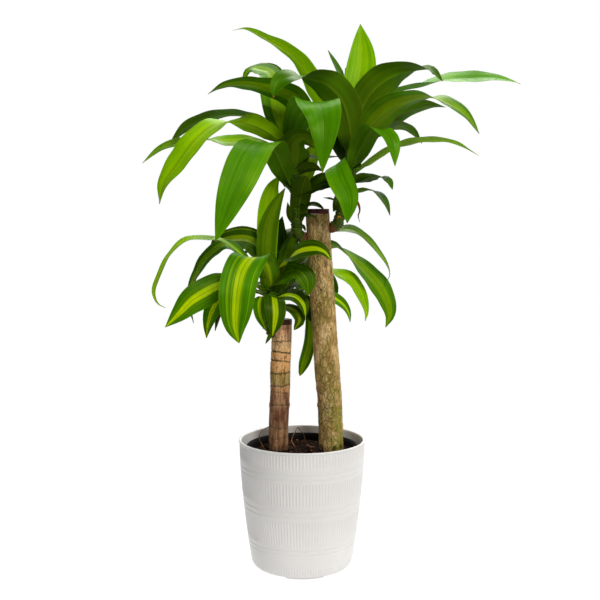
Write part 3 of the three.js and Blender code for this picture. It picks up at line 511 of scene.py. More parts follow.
def crossing_at(found, at, along):
    following = [n for n, (number, _) in enumerate(found) if number >= at]
    n = following[0] if following else len(found) - 1
    after, ahead = found[n]
    before, behind = found[n - 1] if n > 0 else (after, ahead)
    share = (at - before) / (after - before) if after > before else 0
    across = behind.lerp(ahead, share)
    return (across - along * across.dot(along)).normalized()


def turning(curve, at, way, step, size=1):
    """How sharply a curve turns toward a direction, in radians over a length of this size."""
    low, high = max(at - step, 0), min(at + step, 1)
    change = curve.tangent(high) - curve.tangent(low)
    return abs(change.dot(way)) * size / (curve.point(high) - curve.point(low)).length


def flattened(curve, at, up, half):
    """How much of a blade's gutter is left where it bends over: all of it on a straight stretch."""
    return 1 - FLATTEST * smooth(turning(curve, at, up, BEND_STEP, half), *FLATTENING)


def blade_outline(part, peak, taper):
    """A blade's width at a part of its length, as a share of its full width."""
    if part < peak:
        return BLADE_CLASP + (1 - BLADE_CLASP) * math.sin(math.pi / 2 * part / peak)
    return 1 - ((part - peak) / (1 - peak)) ** taper


def add_blade(shape, seed, look, width, marks, peak=BLADE_PEAK, taper=BLADE_TAPER):
    """One blade: a thin closed strip along its midrib, with a channelled root, a gutter and waved edges."""
    curve = Midline(marks)
    found = crossings(marks, curve)
    stations = max(MIN_STATIONS, round(curve.length / STATION_LENGTH))
    halves = []
    for station in range(stations + 1):
        part = station / stations
        at = curve.at_part(part)
        across = crossing_at(found, at * (len(marks) - 1), curve.tangent(at))
        wished = max(width * blade_outline(part, peak, taper), BLADE_TIP) / 2
        halves.append(min(wished, BLADE_TIGHTEST / max(turning(curve, at, across, CURVE_STEP), 1e-6)))
    padded = np.pad(halves, SMOOTHING // 2, mode="edge")
    halves = np.minimum(np.convolve(padded, np.ones(SMOOTHING) / SMOOTHING, mode="valid"), halves)
    rings = []
    for station, half in enumerate(halves):
        part = station / stations
        at = curve.at_part(part)
        centre, along = curve.point(at), curve.tangent(at)
        across = crossing_at(found, at * (len(marks) - 1), along)
        up = across.cross(along)
        gutter = (BLADE_GUTTER + ROOT_GUTTER * (1 - smooth(part, 0, ROOT_END))) * flattened(curve, at, up, half)
        run = part * curve.length / WAVE_LENGTH
        waved = smooth(part, *WAVED[0]) * (1 - 0.5 * smooth(part, *WAVED[1]))

        def corner(c, face):
            lift = gutter * (1.5 * abs(c) - 0.5 * c * c)
            side = 3.7 if c > 0 else 0
            ripple = rough(run * 1.3, seed * 5.1 + side, 0)
            ripple += 0.6 * math.sin(2 * math.pi * run + seed * 2.4 + side)
            wave = WAVE_HEIGHT * waved * c * c * ripple
            drift = DRIFT_HEIGHT * waved * rough(run * 0.8, c * 1.2, seed * 7.7)
            thick = BLADE_THICKNESS * (1 - (1 - MARGIN_THICKNESS) * abs(c) ** 3) / 2
            rib = MIDRIB * smooth(abs(c), 0.1, 0) * (1 - smooth(part, 0.3, 0.95)) if face < 0 else 0
            return centre + across * (half * c) + up * (half * (lift + wave + drift) + face * (thick + rib))

        rings.append([corner(c, 1) for c in BLADE_COLUMNS] + [corner(c, -1) for c in reversed(BLADE_COLUMNS)])
    # Quads between the upper and the under side close the ends, instead of the fans.
    points, faces = skinned(rings)
    points, faces = points[:-2], [face for face in faces if len(face) == 4]
    columns = len(BLADE_COLUMNS)
    last = stations * 2 * columns
    for k in range(columns - 1):
        opposite = 2 * columns - 1 - k
        faces.append((k + 1, k, opposite, opposite - 1))
        faces.append((last + k, last + k + 1, last + opposite - 1, last + opposite))
    count = len(rings)
    flat = {"length": curve.length * MM, "seed": seed}
    flat.update(zip(("tone", "band", "band_width", "stripes"), LOOKS[look]))
    shape.add(
        points,
        faces,
        across=(BLADE_COLUMNS + BLADE_COLUMNS[::-1]) * count,
        under=([0] * columns + [1] * columns) * count,
        along=[station / stations for station in range(count) for _ in range(2 * columns)],
        **{name: [value] * len(points) for name, value in flat.items()},
    )


def leaves(name, material):
    shape = Shape()
    for number, (look, *leaf) in enumerate(LEAVES[name]):
        add_blade(shape, number + 0.37 * len(name), look, *leaf)
    shape.piece(f"leaves_{name}", material, SLOTS[name], f"shoot_{name}")


STEM_SIDES = 32
STEM_PACE = 0.9
SCAR_SPACING = 8.5
CUP_DEPTH = 1.9
CUP_LEAN = 2.6
STEM_INSET = 1.3  # how far the cups start inside the stem's radius


def leafy_stem(name, material):
    """A stem stepped by the scars of its lowest leaves, like a stack of shallow cups that each lean a little."""
    marks = STEMS[name]
    curve = Midline(marks)
    count = round(curve.length / STEM_PACE)
    rings, cups = [], []
    for number in range(count + 1):
        at, run = curve.at_part(number / count), curve.length * number / count
        radius = radius_at(marks, at)

        def cup(angle):
            return (run + CUP_LEAN * math.sin(angle + 0.37 * run)) / SCAR_SPACING % 1

        def reach(angle):
            lumps = rough(2 * math.cos(angle), 2 * math.sin(angle), run * 0.25)
            return radius - STEM_INSET + CUP_DEPTH * cup(angle) ** 1.6 + 0.6 * lumps

        rings.append(ring_about(curve.point(at), curve.tangent(at), STEM_SIDES, reach))
        cups += [cup(angle) for angle in angles(STEM_SIDES)]
    points, faces = skinned(rings)
    shape = Shape()
    along = spread(list(np.linspace(0, 1, len(rings))), STEM_SIDES)
    shape.add(points, faces, along=along, cup=cups + [0, 0])
    shape.piece(f"stem_{name}", material, SLOTS[name], f"shoot_{name}")


# ---------- canes ----------

CANE_SIDES = 128
CANE_PACE = 1.5
FOOT_HOLLOWS = 215  # height under which the canes' feet are hollowed between their roots
TALL_SEED = 2  # of the tall cane's cracks, and 1 more of its hollows
SHORT_SEED = 7


def uneven(angle, height, fineness, seed):
    """Noise on a cane's skin, as fine round the cane and up it as fineness's two numbers say."""
    around, upward = fineness
    return rough(math.cos(angle) * around, math.sin(angle) * around, height * upward + seed)


def crack_at(angle, height, seed):
    """How deep in a lengthwise crack a point of the bark is, from 0 to 1."""
    wander = 0.35 * uneven(angle, height, (2, 0.05), seed)
    line = abs(uneven(angle + wander, height, (7, 0.035), seed + 20))
    gap = smooth(uneven(angle, height, (3, 0.06), seed + 40), -0.1, 0.25)
    return (1 - smooth(line, 0.0, 0.07)) * gap


def foot_hollow(angle, height, seed):
    deep = smooth(uneven(angle, height, (2.2, 0.02), seed), 0.0, 0.35)
    return deep * (1 - smooth(height, FOOT_HOLLOWS - 4, FOOT_HOLLOWS + 6))


# Knots: their angle round the cane, height, half size and how far they stand out, or sink in where it is negative.
TALL_KNOTS = [
    (3.0, 288, 4, 1.6), (3.3, 319, 5, 1.2), (4.6, 471, 5, 1.2), (3.2, 398, 6, 1.0), (0.1, 356, 5, 1.0),
    (5.2, 540, 4, -0.8), (4.4, 336, 5, 0.9), (6.1, 250, 6, 1.2), (1.5, 430, 6, 1.5), (2.0, 520, 5, 1.2),
]
SHORT_KNOTS = [
    (0.05, 288, 3.5, 1.5), (3.1, 286, 4, 1.2), (4.45, 263, 2.6, -1.6), (4.9, 247, 2.2, -0.7), (1.8, 330, 5, 1.2),
    (5.9, 402, 4, 0.8),
]
KNOT_RADIUS = 20  # of the cane, as far as the knots' width is concerned


def knot_at(angle, height, knots):
    """How far the knots move the skin at a point, and how dark the hollow ones make it."""
    rise, dark = 0, 0
    for toward, level, size, out in knots:
        aside = KNOT_RADIUS * math.sin((angle - toward) / 2) * 2
        near = math.exp(-(aside * aside + (height - level) ** 2) / (size * size))
        rise += out * near
        dark = max(dark, near if out < 0 else 0)
    return rise, dark


def tall_cane_skin(angle, height):
    swell = 0.5 * uneven(angle, height, (1.2, 0.02), 5)
    lumps = 0.55 * uneven(angle, height, (6, 0.16), 9) + 0.35 * uneven(angle, height, (14, 0.5), 12)
    hollows = 0.9 * crack_at(angle, height, TALL_SEED) + 4.5 * foot_hollow(angle, height, TALL_SEED + 1)
    return swell + lumps - hollows + knot_at(angle, height, TALL_KNOTS)[0]


# Each ring scar of the short cane: its height, how far it tilts, which way, and how deep it is.
SCARS = [
    (424, 1.0, 0.5, 0.4), (402, 1.5, 0.2, 0.6), (381, 2.4, 3.9, 1.0), (364, 3.4, 4.4, 1.0), (347, 2.2, 1.0, 0.8),
    (324, 1.6, 0.6, 0.9), (310, 2.2, 3.6, 0.5), (287, 1.8, 5.2, 0.5), (248, 2.0, 3.0, 0.4), (230, 1.8, 0.4, 0.4),
]


SCAR_STEP = 7  # how far under a scar the bark begins to swell toward it


def scar_at(angle, height):
    """How near a ring scar a point is, from 0 to 1, and how far the bark under it has swollen."""
    mark, step = 0, 0
    for level, tilt, toward, depth in SCARS:
        line = level + tilt * math.cos(angle - toward) + 0.9 * uneven(angle, level, (3, 0.1), level)
        away = height - line
        mark = max(mark, depth * (1 - smooth(abs(away), 0.5, 2.4)))
        if -SCAR_STEP < away < 0:
            step = max(step, depth * (1 + away / SCAR_STEP))
    return mark, step


def short_cane_skin(angle, height):
    mark, step = scar_at(angle, height)
    lumps = 0.4 * uneven(angle, height, (1.5, 0.03), 31) + 0.22 * uneven(angle, height, (9, 0.25), 33)
    plates = 0.35 * crack_at(angle, height, SHORT_SEED)
    hollows = 0.8 * mark + plates + 3.5 * foot_hollow(angle, height, SHORT_SEED + 1)
    return lumps + 0.6 * step - hollows + knot_at(angle, height, SHORT_KNOTS)[0]


def bark_dark(angle, height, seed, knots):
    """How dark a point of the bark is, in a crack, a hollow knot or a hollow of the foot."""
    knot = knot_at(angle, height, knots)[1]
    return max(crack_at(angle, height, seed), knot, foot_hollow(angle, height, seed + 1))


def tall_cane_marks(angle, height):
    return bark_dark(angle, height, TALL_SEED, TALL_KNOTS), 0


def short_cane_marks(angle, height):
    return bark_dark(angle, height, SHORT_SEED, SHORT_KNOTS), scar_at(angle, height)[0]


def cane(name, marks, top, skin, marks_at, material, slot):
    """A cane with a sawn top. marks_at(angle, height) is how dark its bark is and how much of a scar."""
    rings = tube(marks, CANE_SIDES, CANE_PACE, skin, top)
    found = [marks_at(angle, ring[0].z) for ring in rings for angle in angles(CANE_SIDES)]
    cracks, scars = map(list, zip(*found))
    points, faces = skinned(rings)
    shape = Shape()
    shape.add(points, faces, crack=cracks + [0, 0], scar=scars + [0, 0])
    shape.piece(name, material, slot, name)


WAX_SIDES = 72
WAX_SWELL = 0.8  # added to the wax's depth
WAX_PROFILE = [(0.985, 0), (1, 0.08), (1, 0.84), (0.985, 0.93), (0.95, 0.98), (0.8, 1), (0.5, 0.98), (0.2, 0.97)]


def wax_cap(name, marks, top, material):
    """Wax on a sawn end: a low disc with a rounded shoulder, a little lumpy and not quite round."""
    centre = placed(marks[-1])
    radius = marks[-1][3] + WAX_OVERHANG - WAX_CLEARANCE
    rings = []
    for reach, rise in WAX_PROFILE:
        ring = []
        for angle in angles(WAX_SIDES):
            x, y = math.cos(angle), math.sin(angle)
            wobble = 1 + 0.012 * rough(x * 2, y * 2, top)
            lump = 0.35 * rough(reach * x * 3, reach * y * 3, top) if rise > 0.5 else 0
            height = top + WAX_CLEARANCE + rise * (WAX_DEPTH + WAX_SWELL) + lump
            ring.append(Vector((centre.x, centre.y, height)) + Vector((x, y, 0)) * (reach * wobble * radius))
        rings.append(ring)
    shape = Shape()
    shape.add(*skinned(rings))
    shape.piece(name, material, "cut_wax", name)


# ---------- planter, pot and soil ----------

PLANTER_COLUMNS = 8 * FLUTE_COUNT
FLUTE_END = 1.5  # height over which a flute runs out
WALL_HEIGHTS = [200, 175, 150, 120, 90, 60, 40, BODY_FOOT_HEIGHT]  # of the wall's inner face
FOOT_STEPS = 60
FOOT_RISE = 4.5  # of a foot's ends


def body_radius(height):
    share = (height - BODY_FOOT_HEIGHT) / (PLANTER_HEIGHT - LIP_HEIGHT - BODY_FOOT_HEIGHT)
    return BODY_TOP_RADIUS - (BODY_TOP_RADIUS - BODY_FOOT_RADIUS) * (1 - share) ** WALL_CURVE


def grooved_radius(height):
    """The outer wall's radius, with its ring grooves."""
    radius = body_radius(height)
    for level in GROOVE_HEIGHTS:
        away = abs(height - level) / GROOVE_HALF_WIDTH
        if away < 1:
            radius -= GROOVE_DEPTH * (0.5 + 0.5 * math.cos(math.pi * away))
    return radius


def foot_corner(share):
    """A point on the round corner between the underside and the wall."""
    start = Vector((BASE_RADIUS, BASE_HEIGHT))
    bend = Vector((BODY_FOOT_RADIUS - 2.5, BASE_HEIGHT + 1))
    end = Vector((BODY_FOOT_RADIUS, BODY_FOOT_HEIGHT))
    point = start.lerp(bend, share).lerp(bend.lerp(end, share), share)
    return (point.x, point.y)


def flute(height, angle):
    """How far in the flutes bring the wall at a point: rounded ribs with narrow furrows between them."""
    within = 0
    for low, high in FLUTE_BANDS:
        within = max(within, min(smooth(height, low, low + FLUTE_END), 1 - smooth(height, high - FLUTE_END, high)))
    furrow = (0.5 + 0.5 * math.cos(FLUTE_COUNT * angle)) ** 1.5
    return -FLUTE_DEPTH * within * furrow


def planter_wall():
    lip_bottom = PLANTER_HEIGHT - LIP_HEIGHT
    floor = BASE_HEIGHT + PLANTER_WALL
    ends = (0, 0.7, FLUTE_END)
    bands = [low + end for low, _ in FLUTE_BANDS for end in ends]
    bands += [high - end for _, high in FLUTE_BANDS for end in ends]
    grooves = [level + step * GROOVE_HALF_WIDTH / 4 for level in GROOVE_HEIGHTS for step in range(-4, 5)]
    heights = sorted(height for height in bands + grooves if height > BODY_FOOT_HEIGHT + 0.2)
    lip = [
        (RIM_RADIUS - 0.4, lip_bottom + 0.2),
        (RIM_RADIUS, lip_bottom + 0.9),
        (RIM_RADIUS, PLANTER_HEIGHT - 1.6),
        (RIM_RADIUS - 0.5, PLANTER_HEIGHT - 0.5),
        (RIM_RADIUS - 1.6, PLANTER_HEIGHT),
        (RIM_RADIUS - 2.8, PLANTER_HEIGHT - 0.1),
        (RIM_RADIUS - 3.8, PLANTER_HEIGHT - 0.8),
        (RIM_RADIUS - LIP_HEIGHT - 0.4, PLANTER_HEIGHT - 2),
    ]
    inner = [(body_radius(height) - PLANTER_WALL, height) for height in [lip_bottom - 1, *WALL_HEIGHTS]]
    section = [(0.5, BASE_HEIGHT), (40, BASE_HEIGHT)]
    section += [foot_corner(share / 10) for share in range(11)]
    section += [(grooved_radius(height), height) for height in heights]
    section += [(BODY_TOP_RADIUS, lip_bottom - 0.4), (BODY_TOP_RADIUS + 0.3, lip_bottom)]
    section += lip + inner + [(BASE_RADIUS + 2, floor), (0.5, floor)]
    return skinned(lathe(section, PLANTER_COLUMNS, flute))


def planter_foot(number):
    """One low foot along an arc, whose ends slope up and whose lower edges are rounded."""
    centre = math.radians(-90 + FOOT_TURN + number * 360 / FOOT_COUNT)
    half = math.radians(FOOT_ARC / 2)
    inner, outer = FOOT_RADII
    rings = []
    for step in range(FOOT_STEPS + 1):
        share = step / FOOT_STEPS
        angle = centre - half + 2 * half * share
        rise = FOOT_RISE * (1 - smooth(min(share, 1 - share) * FOOT_STEPS, 0, 4))
        section = [
            (outer, BASE_HEIGHT + 1.5), (outer, rise + 1.2), (outer - 0.4, rise + 0.4), (outer - 1.2, rise),
            (inner + 1.2, rise), (inner + 0.4, rise + 0.4), (inner, rise + 1.2), (inner, BASE_HEIGHT + 1.5),
        ]
        rings.append([polar(radius, angle, height) for radius, height in section])
    return skinned(rings)


def planter(material):
    shape = Shape()
    shape.add(*planter_wall())
    for number in range(FOOT_COUNT):
        shape.add(*planter_foot(number))
    shape.piece("planter_shell", material, "planter_plastic", "planter")


def pot_radius(height):
    share = (height - POT_FLOOR) / (POT_RIM_HEIGHT - POT_RIM_DEPTH - POT_FLOOR)
    return POT_BASE_RADIUS + (POT_TOP_RADIUS - POT_BASE_RADIUS) * share


def grow_pot(material):
    """The nursery pot: a thin tapered wall with a rolled rim."""
    shoulder = POT_RIM_HEIGHT - POT_RIM_DEPTH
    section = [
        (0.5, POT_FLOOR), (POT_BASE_RADIUS - 1, POT_FLOOR), (POT_BASE_RADIUS, POT_FLOOR + 1),
        (pot_radius(shoulder), shoulder), (POT_RIM_RADIUS - 0.6, shoulder), (POT_RIM_RADIUS, shoulder + 0.6),
        (POT_RIM_RADIUS, POT_RIM_HEIGHT - 0.8), (POT_RIM_RADIUS - 0.7, POT_RIM_HEIGHT),
        (POT_RIM_RADIUS - POT_WALL, POT_RIM_HEIGHT - 0.5), (pot_radius(shoulder) - POT_WALL, shoulder - 1),
        (POT_BASE_RADIUS - POT_WALL, POT_FLOOR + POT_WALL), (0.5, POT_FLOOR + POT_WALL),
    ]
    shape = Shape()
    shape.add(*skinned(lathe(section, 180)))
    shape.piece("nursery_pot", material, "pot_plastic", "grow_pot")


SOIL_TOP = SOIL_EDGE_HEIGHT + 9
SOIL_COLUMNS = 220
SOIL_ROWS = 70
SOIL_GAP = 0.6  # between the soil and the pot's wall
SOIL_TONE = 0.3


def soil_height(x, y):
    """The soil's surface: a low lumpy mound, heaped against the rim at the front right."""
    out = math.hypot(x, y) / SOIL_RADIUS
    mound = SOIL_EDGE_HEIGHT + SOIL_CROWN * (1 - out * out)
    lumps = 2.4 * rough(x * 0.045, y * 0.045, 4) + 1.3 * rough(x * 0.16, y * 0.16, 6)
    grains = 0.7 * rough(x * 0.5, y * 0.5, 8)
    heap = 2.5 * smooth(x, 30, 80) * smooth(-y, -60, 20)
    return min(mound + lumps + grains + heap, SOIL_TOP)


def soil(material):
    base = POT_FLOOR + POT_WALL + 0.3
    bottom = (1, pot_radius(base) - POT_WALL - SOIL_GAP)
    rings = [[polar(radius, angle, base) for angle in angles(SOIL_COLUMNS)] for radius in bottom]
    for row in range(SOIL_ROWS):
        radius = (SOIL_RADIUS - SOIL_GAP) * (1 - row / SOIL_ROWS) ** 0.9
        places = [(radius * math.cos(angle), radius * math.sin(angle)) for angle in angles(SOIL_COLUMNS)]
        rings.append([Vector((x, y, soil_height(x, y))) for x, y in places])
    points, faces = skinned(rings)
    shape = Shape()
    shape.add(points, faces, tone=[SOIL_TONE] * len(points))
    add_crumbs(shape)
    shape.piece("potting_soil", material, "potting_soil", "soil")


CRUMB_COUNT = 900
CRUMB_SIZES = (1.0, 2.9)  # half lengths
CRUMB_EDGE = 3  # how far they stay from the soil's edge
CRUMB_SEED = 11


def crumb_points():
    """The corners and faces of a ball of 80 faces, which each crumb is beaten out of shape from."""
    mesh = bpy.data.meshes.new("ball")
    ball = bmesh.new()
    bmesh.ops.create_icosphere(ball, subdivisions=2, radius=1)
    ball.to_mesh(mesh)
    ball.free()
    corners = [vertex.co.copy() for vertex in mesh.vertices]
    faces = [tuple(face.vertices) for face in mesh.polygons]
    bpy.data.meshes.remove(mesh)
    return corners, faces


def add_crumbs(shape):
    """Crumbs of bark and peat, strewn over the soil and sunk into it by a part of their height."""
    draw = random.Random(CRUMB_SEED)
    corners, faces = crumb_points()
    low, high = CRUMB_SIZES
    for number in range(CRUMB_COUNT):
        out, angle = (SOIL_RADIUS - CRUMB_EDGE) * math.sqrt(draw.random()), draw.uniform(0, 2 * math.pi)
        x, y = out * math.cos(angle), out * math.sin(angle)
        size = low + (high - low) * draw.random() ** 2.2
        form = Vector((draw.uniform(0.9, 1.9), draw.uniform(0.7, 1.2), draw.uniform(0.35, 0.8))) * size
        turn = Euler((draw.uniform(-0.6, 0.6), draw.uniform(-0.6, 0.6), draw.uniform(0, 6.28))).to_matrix()
        centre = Vector((x, y, soil_height(x, y) + 0.25 * form.z))
        points = []
        for corner in corners:
            beaten = corner * (1 + 0.45 * noise.noise(corner * 1.7 + Vector((number, 0, 0))))
            points.append(centre + turn @ Vector((beaten.x * form.x, beaten.y * form.y, beaten.z * form.z)))
        shape.add(points, faces, tone=[draw.random() ** 1.6] * len(points))


# Dry roots that loop out of the soil. The fourth number is the radius.
ROOTS = [
    [
        [-46, 252, 20, 0.9], [-58, 250.5, 17, 0.9], [-67, 246, 15, 0.8], [-73, 240, 14, 0.8], [-76, 232, 14, 0.7],
        [-72, 221, 17, 0.7], [-66, 211, 20, 0.8], [-64, 206, 21, 0.9],
    ],
    [
        [-7, 250.5, 46, 0.5], [-8, 249, 45, 0.8], [-13, 240, 40, 0.8], [-17, 231, 36, 0.8], [-18, 224, 33, 0.9],
        [-14, 217, 30, 0.7], [-12, 210, 28, 0.8],
    ],
    [
        [-8.5, 251, 45, 0.5], [-6, 248, 46, 0.8], [-1, 242, 52, 0.7], [3, 236, 58, 0.6], [5, 228, 63, 0.6],
        [6, 219, 67, 0.6],
    ],
    [
        [8, 219, 20, 0.5], [13, 216, 12, 0.7], [18, 214, 8, 0.7], [22, 216, 6, 0.5],
    ],
]
ROOT_SIDES = 10
ROOT_PACE = 1.2


def dry_roots(material):
    shape = Shape()
    for number, marks in enumerate(ROOTS):
        rings = tube(marks, ROOT_SIDES, ROOT_PACE, lambda angle, height: 0.12 * rough(angle, height, number))
        shape.add(*skinned(rings))
    shape.piece("dry_roots", material, "bark_tan")


# ---------- materials ----------


class Signal:
    """A value or a colour on its way through a material's nodes. Sums and products of signals are nodes as well."""

    def __init__(self, wiring, socket):
        self.wiring, self.socket = wiring, socket

    def __add__(self, other):
        return self.wiring.maths("ADD", self, other)

    def __sub__(self, other):
        return self.wiring.maths("SUBTRACT", self, other)

    def __rsub__(self, other):
        return self.wiring.maths("SUBTRACT", other, self)

    def __mul__(self, other):
        return self.wiring.maths("MULTIPLY", self, other)

    def step(self, low, high, bottom=0.0, top=1.0):
        """bottom below low, top above high, and a smooth step between them. low may be the larger."""
        inputs = {"Value": self, "From Min": low, "From Max": high, "To Min": bottom, "To Max": top}
        return self.wiring.put("ShaderNodeMapRange", inputs, interpolation_type="SMOOTHSTEP")

    def ramp(self, *stops):
        """A colour that runs through these [place, colour] stops."""
        node = self.wiring.nodes.new("ShaderNodeValToRGB")
        self.wiring.feed(node.inputs[0], self)
        band = node.color_ramp.elements
        while len(band) < len(stops):
            band.new(0.5)
        for element, (position, tint) in zip(band, stops):
            element.position = position
            element.color = colour(tint)
        return Signal(self.wiring, node.outputs[0])

    def toward(self, other, share, blend="MIX"):
        inputs = {0: share, 6: self, 7: colour(other)}
        return self.wiring.put("ShaderNodeMix", inputs, 2, data_type="RGBA", blend_type=blend)

    def coated(self, *coats):
        """The colour under coats of others: [share, colour] pairs, the topmost last."""
        result = self
        for share, other in coats:
            result = result.toward(other, share)
        return result

    def stretched(self, *scale):
        return self.wiring.put("ShaderNodeVectorMath", {0: self, 1: scale}, operation="MULTIPLY")

    def axis(self, number):
        return self.wiring.put("ShaderNodeSeparateXYZ", {0: self}, number)

    def noise(self, scale, detail=3.0, roughness=0.5, output="Fac"):
        inputs = {"Vector": self, "Scale": scale, "Detail": detail, "Roughness": roughness}
        return self.wiring.put("ShaderNodeTexNoise", inputs, output)

    def bump(self, distance, strength, under=None):
        inputs = {"Height": self, "Distance": distance, "Strength": strength}
        if under:
            inputs["Normal"] = under
        return self.wiring.put("ShaderNodeBump", inputs)


class Wiring:
    """The nodes of a material or a world, which are put down and joined by short calls."""

    def __init__(self, owner):
        self.owner = owner
        owner.use_nodes = True
        self.nodes = owner.node_tree.nodes
        self.nodes.clear()

    def feed(self, socket, value):
        if isinstance(value, Signal):
            self.owner.node_tree.links.new(value.socket, socket)
        else:
            socket.default_value = value

    def put(self, kind, inputs, output=0, **settings):
        """A node with these settings and inputs, and one of its outputs."""
        node = self.nodes.new(kind)
        for name, value in settings.items():
            setattr(node, name, value)
        for name, value in inputs.items():
            self.feed(node.inputs[name], value)
        return Signal(self, node.outputs[output])

    def value(self, name):
        return self.put("ShaderNodeAttribute", {}, "Fac", attribute_name=name)

    def place(self, kind="Object"):
        return self.put("ShaderNodeTexCoord", {}, kind)

    def maths(self, operation, first, second=0.0):
        return self.put("ShaderNodeMath", {0: first, 1: second}, operation=operation)

    def joined(self, x, y, z):
        return self.put("ShaderNodeCombineXYZ", {0: x, 1: y, 2: z})

    def skin(self, tint, roughness, normal, specular=0.5, **more):
        inputs = {"Base Color": tint, "Roughness": roughness, "Normal": normal, "Specular IOR Level": specular}
        return self.put("ShaderNodeBsdfPrincipled", {**inputs, **more})

    def done(self, shader, output="ShaderNodeOutputMaterial"):
        self.feed(self.nodes.new(output).inputs["Surface"], shader)
        return self.owner


def new_material(name):
    """A new material's wiring, and the place on the object that it is at."""
    wiring = Wiring(bpy.data.materials.new(name))
    return wiring, wiring.place()


def colour(code):
    """Six hexadecimal digits of sRGB as the linear colour that a shader takes. Anything else stays as it is."""
    if not isinstance(code, str):
        return code
    parts = [int(code[k : k + 2], 16) / 255 for k in (0, 2, 4)]
    return tuple(((part + 0.055) / 1.055) ** 2.4 if part > 0.04 else part / 12.92 for part in parts) + (1,)


LEAF_SHEEN = (0.75, 1.0, 0.25, 1)
LEAF_GLOW = (2.3, 1.8, 0.2, 1)  # what a leaf's colour is multiplied by where light comes through it
LEAF_THIN = 0.36  # the share of light that goes through


def leaf_material():
    """Glossy strap leaves: fine lengthwise veins, a yellow band and stripes where asked for, dry tips and specks."""
    wiring, place = new_material("leaf")
    names = ("across", "along", "under", "tone", "seed", "length", "band", "band_width", "stripes")
    across, along, under, tone, seed, length, banded, band_width, stripes = map(wiring.value, names)
    run = along * length
    off_middle = wiring.maths("ABSOLUTE", across)
    streak_place = wiring.joined(across, run * 2.2, seed)
    broad = streak_place.stretched(3.5, 1, 1).noise(1.6, 2)
    fine = streak_place.stretched(26, 1.2, 1).noise(1)
    blotch = place.noise(14)

    shade = tone + (blotch - 0.5) * 0.5 + (broad - 0.5) * 0.35
    green = shade.ramp((0.0, "1c3600"), (0.3, "3c6400"), (0.6, "559a00"), (1.0, "97cc00"))
    green = green.toward("223f00", fine.step(0.35, 0.65, 0, 0.35))

    inside = 1 - (off_middle + (broad - 0.5) * 0.3).step(band_width * 0.75, band_width)
    band = inside * banded * fine.step(0.4, 0.6, 0.75, 1)
    stripe_noise = wiring.joined(across, run * 0.9, seed).stretched(5.5, 1, 1).noise(1, 1)
    stripe = stripe_noise.step(0.53, 0.64) * stripes * (1 - off_middle.step(0.72, 0.9))
    yellow = blotch.ramp((0.3, "a0c600"), (0.7, "c6dc08"))
    striped = green.toward(yellow, wiring.maths("MAXIMUM", band, stripe * 0.75))

    rib = 1 - off_middle.step(0.015, 0.05)
    above = striped.toward("2a4a00", rib * 0.3)
    beneath = striped.coated((0.45, "64800c"), (rib * 0.35, "93a52e"))
    rimmed = above.coated((under, beneath), (off_middle.step(0.95, 0.995) * 0.35, "95a420"))

    tip = (along + (place.noise(130, 2) - 0.5) * 0.03).step(0.985, 0.996)
    dry = wiring.maths("MAXIMUM", tip, tone.step(-0.1, -0.4))
    freckle = place.noise(420, 1).step(0.71, 0.76) * blotch.step(0.56, 0.66)
    brown = place.noise(60, 2).ramp((0.3, "5a3a1c"), (0.7, "a5793e"))
    coloured = rimmed.toward(brown, wiring.maths("MAXIMUM", dry, freckle * 0.7))

    roughness = place.noise(35).step(0.3, 0.7, 0.36, 0.48) + under * 0.14 + dry * 0.3
    normal = place.noise(60, 2).bump(0.0012, 0.15)
    skin = wiring.skin(coloured, roughness, normal, 0.2, **{"IOR": 1.45, "Specular Tint": LEAF_SHEEN})
    glow = coloured.toward(LEAF_GLOW, 1, "MULTIPLY")
    through = wiring.put("ShaderNodeBsdfTranslucent", {"Color": glow, "Normal": normal})
    return wiring.done(wiring.put("ShaderNodeMixShader", {0: LEAF_THIN, 1: skin, 2: through}))


def stem_material():
    """A young leafy stem: dark green in steps, with painted shade near black at the foot of each step, reddish brown
    where it leaves its cane, orange at old scars.
    """
    wiring, place = new_material("stem")
    along, cup = wiring.value("along"), wiring.value("cup")
    grain = place.stretched(1, 1, 0.3).noise(260)
    patches = place.noise(110, 2)
    green = (along + (patches - 0.5) * 0.05).ramp(
        (0.0, "7a4630"), (0.055, "6e3f28"), (0.09, "3c5008"), (0.5, "3c6206"), (1.0, "5a8f0a")
    )
    lip = cup.step(0.7, 0.95) * patches.step(0.4, 0.6)
    rust = cup.step(0.5, 0.8) * grain.step(0.6, 0.68) * along.step(0.45, 0.2)
    tint = green.coated(
        (grain.step(0.35, 0.65, 0, 0.4), "1a2604"),
        # painted shade: near black where each cup starts, inside the rim of the cup below, fading out upward
        (cup.step(0.3, 0.02, 0, 0.75), "0e1203"),
        (lip * 0.6, "7f8a1e"),
        (rust, "c07a1c"),
    )
    return wiring.done(wiring.skin(tint, grain.step(0.3, 0.7, 0.45, 0.7), grain.bump(0.0008, 0.5), 0.15))


def darker_foot(height, patches):
    """Where a cane is darker, just above the soil: from about the planter's rim height downward."""
    return (height + patches * 0.02).step(0.232, 0.214) * 0.6


